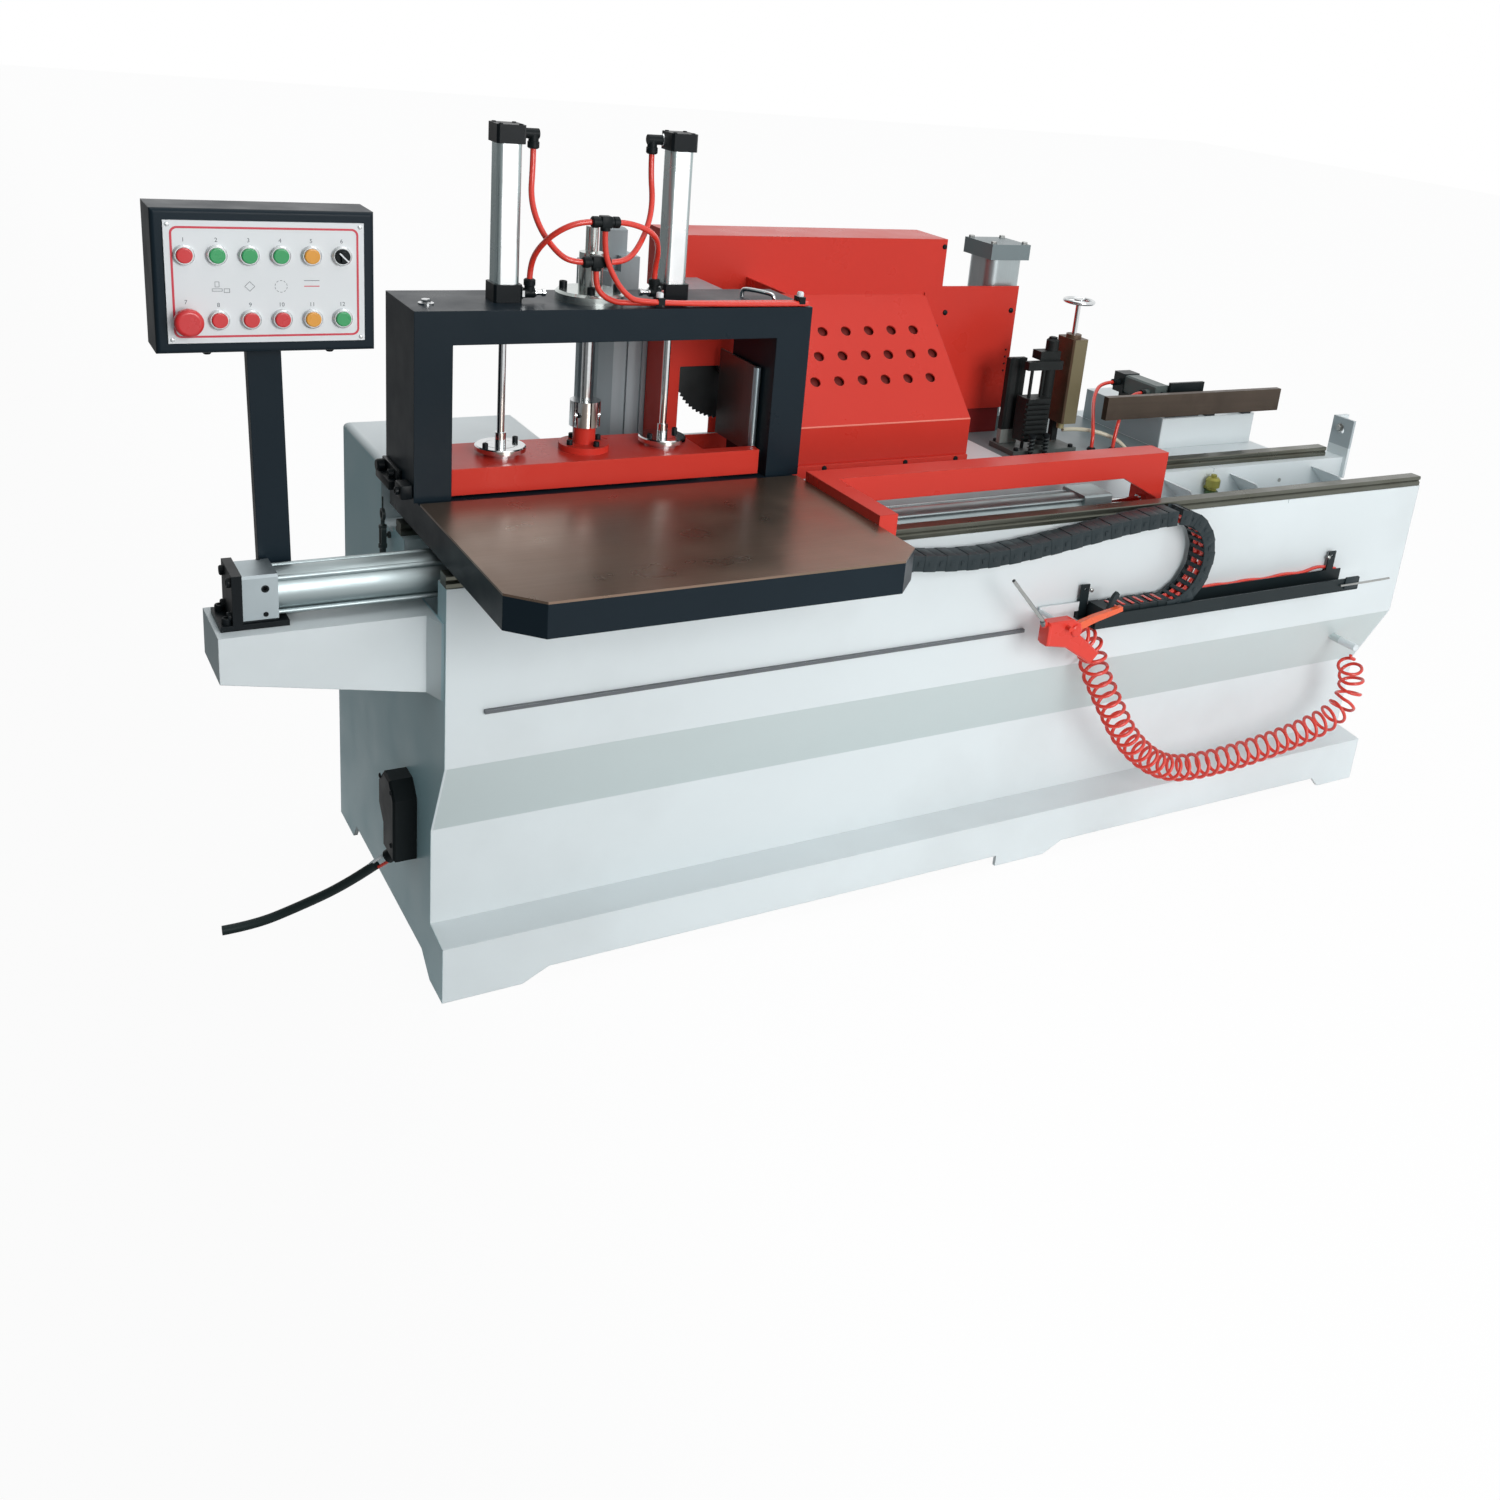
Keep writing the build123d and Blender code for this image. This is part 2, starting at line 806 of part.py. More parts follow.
def junction_box():
    y0 = junction_front
    y1 = junction_front + junction_width
    z0 = junction_bottom
    z1 = junction_bottom + junction_height
    cut = junction_cut
    neck = junction_front + junction_neck
    neck_z = junction_bottom + junction_neck_height
    outline = [(y0, z0), (y0, z1 - cut), (y0 + cut, z1), (y1 - cut, z1), (y1, z1 - cut)]
    outline += [(y1, neck_z + cut), (neck, neck_z), (neck, z0)]
    body = across_x(outline, (-junction_depth, 0))
    body = chamfer(body.edges().group_by(Axis.X)[0], plate / 2)
    reach = cable_start - cable_ahead * (2 * gland_radius)
    gland = bar(reach, cable_ahead, 2 * gland_radius, gland_radius)
    return body + gland


nodes["junction_box"] = junction_box()


def smooth_bends(points):
    """The largest equal bend that leaves part of each run straight."""
    sizes = []
    for before, here, after in zip(points, points[1:], points[2:]):
        ahead = Vector(*here) - Vector(*before)
        onward = Vector(*after) - Vector(*here)
        half_turn = radians(ahead.get_angle(onward)) / 2
        sizes.append(0.45 * min(ahead.length, onward.length) * cos(half_turn) / sin(half_turn))
    return min(sizes)


cable_bend = smooth_bends(cable_points)
nodes["mains_cable"] = tube_along(cable_points, cable_bend, cable_radius)
print(f"mains cable: bends of {cable_bend:.0f} mm, {cable_bend / (2 * cable_radius):.1f} diameters")


# Hood with saw guard
hood_slope_y = hood_front + hood_top - hood_fold
hood_box_back = hood_slope_y + hood_box_depth
hood_box_top = hood_top + hood_box_height


def hood():
    t = hood_sheet
    body = block((guard_left, hood_right), (hood_front, hood_front + t), (deck_height, hood_fold))
    lift = t * 2 ** 0.5
    slope = [(hood_front, hood_fold), (hood_slope_y, hood_top), (hood_slope_y + lift, hood_top)]
    slope += [(hood_front + lift, hood_fold)]
    body += across_x(slope, (hood_left, hood_right))
    cheek = [(hood_front, deck_height), (hood_front, hood_fold), (hood_slope_y, hood_top)]
    cheek += [(hood_slope_y, deck_height)]
    body += across_x(cheek, (hood_right - t, hood_right))
    lid = block((hood_box_left, hood_box_right), (hood_slope_y, hood_box_back), (hood_top, hood_box_top))
    room_x = (hood_box_left + t, hood_box_right - t)
    lid -= block(room_x, (hood_slope_y + t, hood_box_back - t), (hood_top - t, hood_box_top - t))
    body += lid
    back_y = (hood_box_back - t, hood_box_back)
    body += block((hood_left, hood_box_right), back_y, (deck_height, hood_top + t))
    wall_z = (deck_height, hood_top + t)
    body += block((hood_right - t, hood_right), (hood_slope_y - t, hood_box_back), wall_z)
    plate_y = (hood_slope_y, hood_slope_y + t)
    body += block((hood_right - t, side_plate_right), plate_y, (side_plate_bottom, side_plate_top))
    skirt_x = (hood_right - t, side_plate_right - skirt_inset)
    skirt_z = (deck_height, side_plate_bottom + skirt_lap)
    body += block(skirt_x, (hood_slope_y + t, hood_slope_y + 2 * t), skirt_z)
    baffle_y = hood_box_back - baffle_gap
    body += block((hood_left + t, hood_right - t), (baffle_y, baffle_y + t), (baffle_low, baffle_high))
    wing = [(hood_front, hood_fold), (hood_slope_y, hood_top), (hood_slope_y, hood_fold)]
    body += across_x(wing, (hood_left, hood_left + t))

    guard_right = hood_left + t
    leg_right = guard_left + guard_leg
    shield = [(guard_left, deck_height), (guard_left, guard_top), (guard_right, guard_top)]
    shield += [(guard_right, guard_bottom), (leg_right, guard_bottom), (leg_right, deck_height)]
    body += across_y(shield, (guard_front, guard_front + t))
    shield_y = (guard_front, guard_front + guard_depth)
    body += block((guard_left, guard_right), shield_y, (guard_top - t, guard_top))
    body += block((guard_left, guard_left + t), shield_y, (deck_height, guard_top))
    foot_z = (deck_height, deck_height + 2 * guard_leg)
    body += block((guard_left, leg_right), (guard_front, hood_front + t), foot_z)
    end_y = hood_front + guard_bottom - hood_fold + t
    end = [(guard_front, guard_bottom), (guard_front, guard_top), (hood_slope_y + t, guard_top)]
    end += [(hood_slope_y + t, hood_top), (end_y, guard_bottom)]
    body += across_x(end, (hood_left, guard_right))

    tilt = Plane(origin=(0, hood_front, hood_fold), x_dir=(1, 0, 0), z_dir=(0, -1, 1))
    for row in range(hole_rows):
        first = hole_first_x + (hole_pitch / 2 if row % 2 else 0)
        for place in range(hole_count):
            spot = Pos(first + place * hole_pitch, hole_first_row + row * hole_row_pitch, 0)
            body -= tilt * spot * Cylinder(hole_radius, 8 * t)
    duct_z = hood_top - 2 * duct_radius
    body += bar((duct_x, hood_box_back - t, duct_z), (0, 1, 0), duct_length + t, duct_radius)
    mouth_y = hood_box_back - 2 * t
    return body - bar((duct_x, mouth_y, duct_z), (0, 1, 0), duct_length + 4 * t, duct_radius - t)


nodes["hood"] = hood()


def saw_motor():
    y0 = hood_front + 2 * plate
    body = bar((saw_x, y0, saw_z), (0, 1, 0), saw_motor_length, saw_motor_radius)
    arm_x = (saw_x - arm_width, saw_x + arm_width)
    body += block(arm_x, (y0 + saw_motor_length / 2, hood_slope_y), (saw_z, hood_top + arm_width))
    return body - bar((saw_x, y0 - plate, saw_z), (0, 1, 0), saw_motor_length / 2, arbor_radius + running_fit)


nodes["saw_motor"] = saw_motor()


def saw_blade():
    outline = []
    for tooth in range(saw_teeth):
        angle = 2 * pi * tooth / saw_teeth
        back = angle + tooth_back * 2 * pi / saw_teeth
        root = saw_radius - tooth_depth
        outline.append((saw_radius * cos(angle), saw_radius * sin(angle)))
        outline.append((root * cos(back), root * sin(back)))
    outline = [(saw_x + x, saw_z + z) for x, z in outline]
    blade = across_y(outline, (hood_front - saw_thickness / 2, hood_front + saw_thickness / 2))
    blade += bar((saw_x, hood_front - plate, saw_z), (0, 1, 0), plate, 2 * arbor_radius)
    reach = 2 * plate + saw_motor_length / 3
    return blade + bar((saw_x, hood_front, saw_z), (0, 1, 0), reach, arbor_radius)


nodes["saw_blade"] = saw_blade()


# Spindle drive below the deck
def spindle_motor():
    left = motor_x - motor_width / 2
    front = motor_y - motor_depth / 2
    body_x = (left, left + motor_width)
    body_y = (front, front + motor_depth)
    body = block(body_x, body_y, (deck_height, motor_shoulder))
    body = chamfer(body.edges().filter_by(Axis.Z), motor_corner)
    groove_z = (deck_height + 2 * plate, motor_shoulder - plate)
    across = (motor_width - 2 * motor_corner) / (2 * motor_flutes + 1)
    along = (motor_depth - 2 * motor_corner) / (2 * motor_flutes + 1)
    for index in range(motor_flutes):
        x = left + motor_corner + (2 * index + 1) * across
        y = front + motor_corner + (2 * index + 1) * along
        body -= block((x, x + across), (front - plate, front + flute_depth), groove_z)
        body -= block((left - plate, left + flute_depth), (y, y + along), groove_z)
    cover = block((left, left + cover_width), body_y, (motor_shoulder, cover_top))
    cover = chamfer(cover.edges().filter_by(Axis.Z), motor_corner / 2)
    right = left + cover_width
    cover += block((right - block_width, right), (front, front + block_depth), (motor_shoulder, block_top))
    cap_x = (left + plate, left + plate + motor_cap)
    cap_y = (front + block_depth / 3, front + block_depth / 3 + motor_cap)
    cap = block(cap_x, cap_y, (motor_shoulder, motor_cap_top))
    body += cover + chamfer(cap.edges().group_by(Axis.Z)[-1], plate / 2)
    bore = arbor_radius + running_fit
    return body - bar((motor_x, motor_y, deck_height - plate), (0, 0, 1), motor_bore + plate, bore)


nodes["spindle_motor"] = spindle_motor()


def pulley(x, y):
    wheel = bar((x, y, pulley_bottom), (0, 0, 1), pulley_height, pulley_radius)
    lip = belt_thickness / 2
    rim = bar((x, y, pulley_bottom), (0, 0, 1), lip, pulley_radius + lip)
    rim += bar((x, y, pulley_bottom + pulley_height), (0, 0, 1), lip, pulley_radius + lip)
    return wheel + rim


def motor_pulley():
    reach = deck_height - pulley_bottom + motor_bore - plate
    return pulley(motor_x, motor_y) + bar((motor_x, motor_y, pulley_bottom), (0, 0, 1), reach, arbor_radius)


nodes["motor_pulley"] = motor_pulley()


def cutter_spindle():
    top = cutter_bottom + cutter_count * cutter_pitch
    body = bar((spindle_x, spindle_y, pulley_bottom), (0, 0, 1), top + plate - pulley_bottom, spindle_radius)
    body += pulley(spindle_x, spindle_y)
    body += bar((spindle_x, spindle_y, cutter_bottom), (0, 0, 1), top - cutter_bottom, 1.6 * spindle_radius)
    wing = cutter_radius / 5
    reach_x = (spindle_x - cutter_radius, spindle_x + cutter_radius)
    reach_y = (spindle_y - cutter_radius, spindle_y + cutter_radius)
    for index in range(cutter_count):
        low = cutter_bottom + index * cutter_pitch
        body += block(reach_x, (spindle_y - wing, spindle_y + wing), (low, low + cutter_thickness))
        body += block((spindle_x - wing, spindle_x + wing), reach_y, (low, low + cutter_thickness))
    return body


nodes["cutter_spindle"] = cutter_spindle()


def spindle_housing():
    height = housing_top - housing_bottom
    body = bar((spindle_x, spindle_y, housing_bottom), (0, 0, 1), height, housing_radius)
    body += bar((spindle_x, spindle_y, deck_height), (0, 0, 1), 2 * plate, housing_flange)
    length = height + 2 * plate
    bore = spindle_radius + running_fit
    return body - bar((spindle_x, spindle_y, housing_bottom - plate), (0, 0, 1), length, bore)


nodes["spindle_housing"] = spindle_housing()


def drive_belt():
    span = hypot(spindle_x - motor_x, spindle_y - motor_y)
    turn = degrees(atan2(spindle_y - motor_y, spindle_x - motor_x))
    inner = pulley_radius + clearance
    place = Pos((motor_x + spindle_x) / 2, (motor_y + spindle_y) / 2, 0) * Rot(0, 0, turn)
    loop = SlotCenterToCenter(span, 2 * (inner + belt_thickness)) - SlotCenterToCenter(span, 2 * inner)
    height = pulley_height - belt_thickness / 2 - 2 * clearance
    low = pulley_bottom + belt_thickness / 2 + clearance
    return Pos(0, 0, low) * extrude(place * loop, height)


nodes["drive_belt"] = drive_belt()


# Lift cylinder and glue unit behind the carriage
def lift_cylinder():
    half = lift_cap / 2
    cap_x = (lift_x - half, lift_x + half)
    cap_y = (lift_y - half, lift_y + half)
    body = block(cap_x, cap_y, (deck_height, deck_height + lift_cap_height))
    body += block(cap_x, cap_y, (lift_top - lift_cap_height, lift_top))
    tube = Pos(lift_x, lift_y, deck_height) * RectangleRounded(lift_tube, lift_tube, lift_tube / 4)
    return body + extrude(tube, lift_top - deck_height)


nodes["lift_cylinder"] = lift_cylinder()

glue_floor = deck_height + glue_plate
head_x = (column_x - column_radius - head_width, column_x - column_radius - clearance)
head_y = (glue_y - head_depth, glue_y)
head_bottom = glue_floor + head_gap
head_rods = (head_x[0] + 4 * head_rod, head_x[1] - 4 * head_rod)


def glue_stand():
    foot_y = (glue_y - glue_plate_depth / 2, glue_y + glue_plate_depth / 2)
    stand = block((glue_left, glue_right), foot_y, (deck_height, glue_floor))
    stand += bar((column_x, glue_y, deck_height), (0, 0, 1), column_top - deck_height, column_radius)
    knob = bar((column_x, glue_y, column_top), (0, 0, 1), knob_height, knob_radius)
    stand += chamfer(knob.edges().group_by(Axis.Z)[-1], plate / 2)
    arm_x = (column_x - arm_length, column_x + column_radius)
    arm_y = (glue_y - head_depth / 2 - 2 * head_rod, glue_y - head_depth / 2 + 2 * head_rod)
    arm_z = (column_top - 2 * arm_height, column_top - arm_height)
    stand += block(arm_x, arm_y, arm_z)
    clamp_x = (column_x - arm_reach, column_x + column_radius)
    clamp_y = (glue_y - column_radius, glue_y + column_radius)
    stand += block(clamp_x, clamp_y, (column_top - arm_height, column_top))
    stand += block((column_x - column_radius, column_x + column_radius), (arm_y[0], clamp_y[1]), arm_z)
    for x in head_rods:
        stand += bar((x, glue_y - head_depth / 2, glue_floor), (0, 0, 1), arm_z[0] - glue_floor, head_rod)
    flap_y = glue_y + flap_gap
    flap_right = flap_left + flap_width
    foot_top = deck_height + flap_foot
    stand += block((flap_left, flap_right), (flap_y, flap_y + flap_thickness), (deck_height, foot_top))
    wave = [(flap_left, flap_y), (flap_left + flap_width / 4, flap_y + flap_wave)]
    wave += [(flap_left + flap_width / 2, flap_y), (flap_left + 3 * flap_width / 4, flap_y + flap_wave)]
    flap_back = flap_y + flap_thickness
    wave += [(flap_right, flap_y), (flap_right, flap_back), (flap_left, flap_back)]
    stand += across_z(wave, (deck_height, flap_top))
    tower_y = (glue_y + tank_depth / 4, glue_y + tank_depth / 2)
    stand += block((tank_x - plate, tank_x + plate), tower_y, (deck_height, tank_bottom))
    return stand


nodes["glue_stand"] = glue_stand()


def glue_head():
    head = block(head_x, head_y, (head_bottom, head_bottom + head_height))
    slots = int(head_height / (2 * head_slot))
    comb_x = (head_x[0] - plate, head_x[1] + plate)
    comb_y = (head_y[0] - plate, head_y[0] + plate)
    for index in range(slots):
        z = head_bottom + head_slot / 2 + index * 2 * head_slot
        head -= block(comb_x, comb_y, (z, z + head_slot))
    for x in head_rods:
        rod_start = (x, glue_y - head_depth / 2, glue_floor)
        head -= bar(rod_start, (0, 0, 1), column_top - glue_floor, head_rod + running_fit)
    return head


nodes["glue_head"] = glue_head()


def glue_tank():
    half = tank_width / 2
    top = tank_bottom + tank_height
    tank_y = (glue_y - tank_depth / 2, glue_y + tank_depth / 2)
    body = block((tank_x - half, tank_x + half), tank_y, (tank_bottom, top))
    body = chamfer(body.edges().filter_by(Axis.Z), plate / 2)
    body += bar((tank_x, glue_y, tank_bottom - 2 * spout_radius), (0, 0, 1), 2 * spout_radius, spout_radius)
    body += bar((tank_x, glue_y, top), (0, 0, 1), plate, 3 * wheel_spindle)
    bore = wheel_spindle + running_fit
    return body - bar((tank_x, glue_y, top - tank_height / 2), (0, 0, 1), tank_height, bore)


nodes["glue_tank"] = glue_tank()


def glue_handwheel():
    top = tank_bottom + tank_height
    depth = tank_height / 3
    shaft = bar((tank_x, glue_y, top - depth), (0, 0, 1), wheel_rise + depth, wheel_spindle)
    rim = Pos(tank_x, glue_y, wheel_height) * Torus(wheel_radius - wheel_rim, wheel_rim)
    hub = bar((tank_x, glue_y, wheel_height - wheel_rim), (0, 0, 1), 2 * wheel_rim, 2 * wheel_spindle)
    wheel = shaft + rim + hub
    for turn in range(3):
        angle = 2 * pi * (turn + 0.25) / 3
        spoke = (cos(angle), sin(angle), 0)
        wheel += bar((tank_x, glue_y, wheel_height), spoke, wheel_radius - wheel_rim, 0.6 * wheel_rim)
    return wheel


nodes["glue_handwheel"] = glue_handwheel()


# Pump box with the stop bar in front of it
pump_top = deck_height + pump_height
pin_places = (pin_first_x, pin_first_x + pin_spacing)
bar_back = bar_front + bar_thickness
slide_z = bar_bottom + bar_height - slide_drop
pin_z = bar_bottom + pin_rise
small_start = pump_front + small_gap


def pump_box():
    body = block((pump_left, pump_left + pump_width), (pump_front, pump_rear), (deck_height, pump_top))
    body = fillet(body.edges().filter_by(Axis.Z), plate / 2)
    room_x = (pump_left + plate, pump_left + pump_width - plate)
    room_y = (pump_front + plate, pump_rear - plate)
    return body - block(room_x, room_y, (deck_height - plate, pump_top - plate))


nodes["pump_box"] = pump_box()


def glue_hose():
    z = deck_height + hose_rise
    low = tank_bottom - 2 * spout_radius - hose_radius
    y = pump_front + 8 * hose_radius
    points = [(tank_x + spout_radius, glue_y, low), (tank_x + hose_run, glue_y, low)]
    points += [(tank_x + hose_reach, y, z), (pump_left, y, z)]
    hose = tube_along(points, 6 * hose_radius, hose_radius)
    joint = bar((tank_x, glue_y, low - hose_radius), (0, 0, 1), 2 * hose_radius, spout_radius)
    return hose + joint




def stop_cylinder():
    half = guide_block / 2
    pieces = []
    for x in pin_places:
        guide_y = (pump_front, pump_front + guide_block_depth)
        guide = block((x - half, x + half), guide_y, (pump_top, pin_z + half))
        bore = bar((x, pump_front - plate, pin_z), (0, 1, 0), 2 * guide_block_depth, pin_radius + running_fit)
        pieces.append(guide - bore)
    wide = small_size / 2
    cap_start = small_start + small_length
    body = block((small_x - wide, small_x + wide), (small_start, cap_start), (slide_z - wide, slide_z + wide))
    body = chamfer(body.edges().filter_by(Axis.Y), plate / 2)
    wide = small_cap_size / 2
    cap_y = (cap_start, cap_start + small_cap)
    body += block((small_x - wide, small_x + wide), cap_y, (slide_z - wide, slide_z + wide))
    cradle_y = (cap_start - small_cap, cap_start + small_cap)
    cradle_x = (pump_left, small_x + small_foot)
    body += block(cradle_x, cradle_y, (pump_top, slide_z))
    body -= bar((small_x, small_start - plate, slide_z), (0, 1, 0), small_length, pin_radius + running_fit)
    for y in stop_ports:
        body += bar((port_x, y, slide_z), (1, 0, 0), small_x - port_x - pin_radius - plate, port_radius)
    pieces.append(body)
    angle_x = (angle_left, angle_left + angle_length)
    angle_y = pump_front + plate
    angle = block(angle_x, (angle_y, angle_y + angle_thickness), (pump_top, angle_top))
    angle += block(angle_x, (angle_y, angle_y + angle_foot), (pump_top, pump_top + angle_thickness))
    pieces.append(angle)
    return pieces


port_x = small_x - small_cap_size / 2 - port_length
stop_ports = (small_start + small_length + small_cap / 2, small_start + front_port_y)
nodes["stop_cylinder"] = stop_cylinder()


def stop_hoses():
    """Air hoses from the stop cylinder's two ports down into the deck."""
    hoses = []
    bends = []
    runs = [(stop_ports[0], rear_hose_reach, rear_hose_front)]
    runs.append((stop_ports[1], front_hose_reach, front_hose_front))
    for y, reach, ahead in runs:
        drop = slide_z - deck_height
        points = [(port_x - reach * a, y - ahead * b, slide_z - drop * c) for a, b, c in stop_hose_bow]
        points += [(port_x - reach, y - ahead, z) for z in (deck_height + 3 * plate, deck_height)]
        bends.append(smooth_bends(points))
        hoses.append(tube_along(points, bends[-1], stop_hose))
    print(f"stop hoses: bends of {min(bends):.0f} mm or more, {min(bends) / (2 * stop_hose):.1f} diameters")
    return hoses


nodes["glue_hose"] = [glue_hose()] + stop_hoses()


def stop_bar():
    bar_z = (bar_bottom, bar_bottom + bar_height)
    body = block((bar_left, bar_left + bar_length), (bar_front, bar_back), bar_z)
    for x in pin_places:
        body += bar((x, bar_back, pin_z), (0, 1, 0), pin_length, pin_radius)
    reach = small_start + small_length / 2 - bar_back
    return body + bar((small_x, bar_back, slide_z), (0, 1, 0), reach, pin_radius)


nodes["stop_bar"] = stop_bar()


# Carriage
casting_top = table_height - table_plate
skirt_bottom = table_height - table_skirt
web_bottom = casting_top - table_web
portal_rear = portal_front + portal_depth


def table_plan(inset, rear):
    x0 = table_left + inset
    x1 = table_right - inset
    y0 = table_front + inset
    cut = table_chamfer - 0.4 * inset
    return [(x0 + cut, y0), (x1 - cut, y0), (x1, y0 + cut), (x1, rear), (x0, rear), (x0, y0 + cut)]


def table_casting():
    body = across_z(table_plan(0, portal_rear), (skirt_bottom, casting_top))
    body -= across_z(table_plan(table_wall, portal_rear - table_wall), (skirt_bottom - plate, web_bottom))
    chain_top = chain_end_z + chain_height / 2
    tab_y = (chain_y - chain_width / 2, chain_y + chain_width / 2)
    tab_x = (chain_end_x - chain_pitch / 2, chain_end_x + chain_pitch / 4)
    body += block(tab_x, tab_y, (chain_top, web_bottom))
    return body


nodes["table_casting"] = table_casting()
nodes["table_top"] = across_z(table_plan(0, table_rear), (casting_top, table_height))


def bearing_blocks():
    pieces = []
    inset = table_wall + bearing_inset
    half = bearing_width / 2
    slot = rail_width / 2 + clearance
    for x in (table_left + inset, table_right - inset - bearing_length):
        for y in (rail_front_y, rail_rear_y):
            shoe = block((x, x + bearing_length), (y - half, y + half), (rail_seat + bearing_gap, web_bottom))
            slot_x = (x - plate, x + bearing_length + plate)
            shoe -= block(slot_x, (y - slot, y + slot), (rail_seat, rail_top + clearance))
            pieces.append(shoe)
    return pieces


nodes["bearing_blocks"] = bearing_blocks()


def portal():
    frame = block((portal_left, portal_right), (portal_front, portal_rear), (casting_top, portal_height))
    window_y = (portal_front - plate, portal_rear + plate)
    window_z = (casting_top - plate, portal_height - portal_beam)
    frame -= block((portal_left + portal_post, window_right), window_y, window_z)
    low = portal_height - portal_beam - plate
    for x in (press_left_x, press_right_x):
        frame -= bar((x, press_y, low), (0, 0, 1), portal_beam + 2 * plate, press_rod + clearance)
    frame -= bar((guide_x, press_y, low), (0, 0, 1), portal_beam + 2 * plate, guide_rod + clearance)
    return frame


nodes["portal"] = portal()

press_floor = table_height + press_lift_gap
press_top = press_floor + press_bar_height
cylinder_top = portal_height + cylinder_height


def press_cylinder(x):
    caps = []
    for low in (portal_height, cylinder_top - cap_height):
        cap = Pos(x, press_y, low + cap_height / 2) * Box(cap_size, cap_size, cap_height)
        caps.append(chamfer(cap.edges().filter_by(Axis.Z), plate / 2))
    bore = press_rod + running_fit
    caps[0] -= bar((x, press_y, portal_height - plate), (0, 0, 1), cap_height + 2 * plate, bore)
    return caps


nodes["press_caps"] = press_cylinder(press_left_x) + press_cylinder(press_right_x)


def press_tube(x):
    outline = RectangleRounded(tube_size, tube_size, tube_round) - Circle(tube_bore + running_fit)
    return extrude(Pos(x, press_y, portal_height + cap_height) * outline, cylinder_height - 2 * cap_height)


nodes["press_tubes"] = [press_tube(press_left_x), press_tube(press_right_x)]


def guide_bush():
    bush = bar((guide_x, press_y, portal_height), (0, 0, 1), bush_flange_thickness, bush_flange_radius)
    bush = chamfer(bush.edges().group_by(Axis.Z)[-1], bush_flange_thickness / 4)
    body_top = bush_flange_thickness + bush_height
    bush += bar((guide_x, press_y, portal_height), (0, 0, 1), body_top, bush_radius)
    bush += bar((guide_x, press_y, portal_height), (0, 0, 1), body_top + sleeve_height, sleeve_radius)
    length = body_top + sleeve_height + 2 * plate
    return bush - bar((guide_x, press_y, portal_height - plate), (0, 0, 1), length, guide_rod + running_fit)


nodes["guide_bush"] = guide_bush()


def press_beam():
    left = portal_left + portal_post + press_side_gap
    right = fence_x - press_side_gap
    main_right = right - press_notch
    z = (press_floor, press_top)
    beam = block((left, main_right), (press_front, press_front + press_depth), z)
    beam += block((left, right), (press_front, press_front + press_lip), z)
    beam += bar((guide_x, press_y, press_top), (0, 0, 1), boss_flange_thickness, boss_flange_radius)
    beam += bar((guide_x, press_y, press_top), (0, 0, 1), boss_height, boss_radius)
    return beam


nodes["press_beam"] = press_beam()


def press_rods():
    pieces = []
    piston_low = portal_height + cap_height + plate
    for x in (press_left_x, press_right_x):
        rod = bar((x, press_y, press_top), (0, 0, 1), flange_thickness, flange_radius)
        rod = chamfer(rod.edges().group_by(Axis.Z)[-1], flange_thickness / 4)
        step_top = flange_thickness + flange_step
        rod += bar((x, press_y, press_top), (0, 0, 1), step_top, flange_step_radius)
        rod += bar((x, press_y, press_top), (0, 0, 1), step_top + collar_height, collar_radius)
        rod += bar((x, press_y, press_top), (0, 0, 1), piston_low - press_top, press_rod)
        rod += bar((x, press_y, piston_low), (0, 0, 1), piston_height, tube_bore)
        pieces.append(rod)
    collar_low = press_top + boss_height
    guide_top = portal_height + bush_flange_thickness + bush_height + sleeve_height
    guide = bar((guide_x, press_y, collar_low), (0, 0, 1), guide_top - collar_low, guide_rod)
    collar = bar((guide_x, press_y, collar_low), (0, 0, 1), split_collar_height, split_collar_radius)
    gap_x = (guide_x - split_collar_slot / 2, guide_x + split_collar_slot / 2)
    gap_y = (press_y - 2 * split_collar_radius, press_y - guide_rod)
    collar -= block(gap_x, gap_y, (collar_low - plate, collar_low + split_collar_height + plate))
    screw_y = press_y - (split_collar_radius + guide_rod) / 2
    screw_z = collar_low + split_collar_height / 2
    screw_x = guide_x - 2 * split_collar_radius
    collar -= bar((screw_x, screw_y, screw_z), (1, 0, 0), 4 * split_collar_radius, split_collar_hole)
    pieces.append(guide + collar)
    return pieces


nodes["press_rods"] = press_rods()


def side_fence():
    fence = block((fence_x, fence_x + fence_thickness), (fence_front, fence_rear), (fence_bottom, fence_top))
    fence += bar((fence_x, fence_front, fence_bottom), (0, 0, 1), fence_top - fence_bottom, fence_bar)
    pad_y = (portal_rear - 2 * fence_pad, portal_rear - fence_pad)
    for low in (fence_bottom + fence_pad / 2, fence_top - 1.5 * fence_pad):
        fence += block((fence_x, window_right), pad_y, (low, low + fence_pad))
    return fence


nodes["side_fence"] = side_fence()

frame_bottom = frame_height - frame_depth
arm_x0 = table_right


def push_frame():
    z = (frame_bottom, frame_height)
    leg_right = leg_x + leg_thickness
    body = block((arm_x0, arm_x0 + arm_width), (arm_front, push_beam_rear), z)
    body += block((arm_x0, leg_right), (push_beam_front, push_beam_rear), z)
    leg = [(push_beam_front, frame_height), (push_beam_rear, frame_height), (leg_rear, frame_bottom)]
    leg += [(leg_rear, leg_bottom), (push_beam_front, leg_bottom)]
    body += across_x(leg, (leg_x, leg_right))
    brace = [(leg_x - 2 * frame_depth, frame_bottom), (leg_x, frame_bottom - frame_depth)]
    brace += [(leg_x, frame_bottom)]
    body += across_y(brace, (push_beam_front, push_beam_front + leg_thickness))
    hole = drive_thread + clearance
    return body - bar((leg_x - plate, cylinder_y, cylinder_z), (1, 0, 0), leg_thickness + 2 * plate, hole)


nodes["push_frame"] = push_frame()


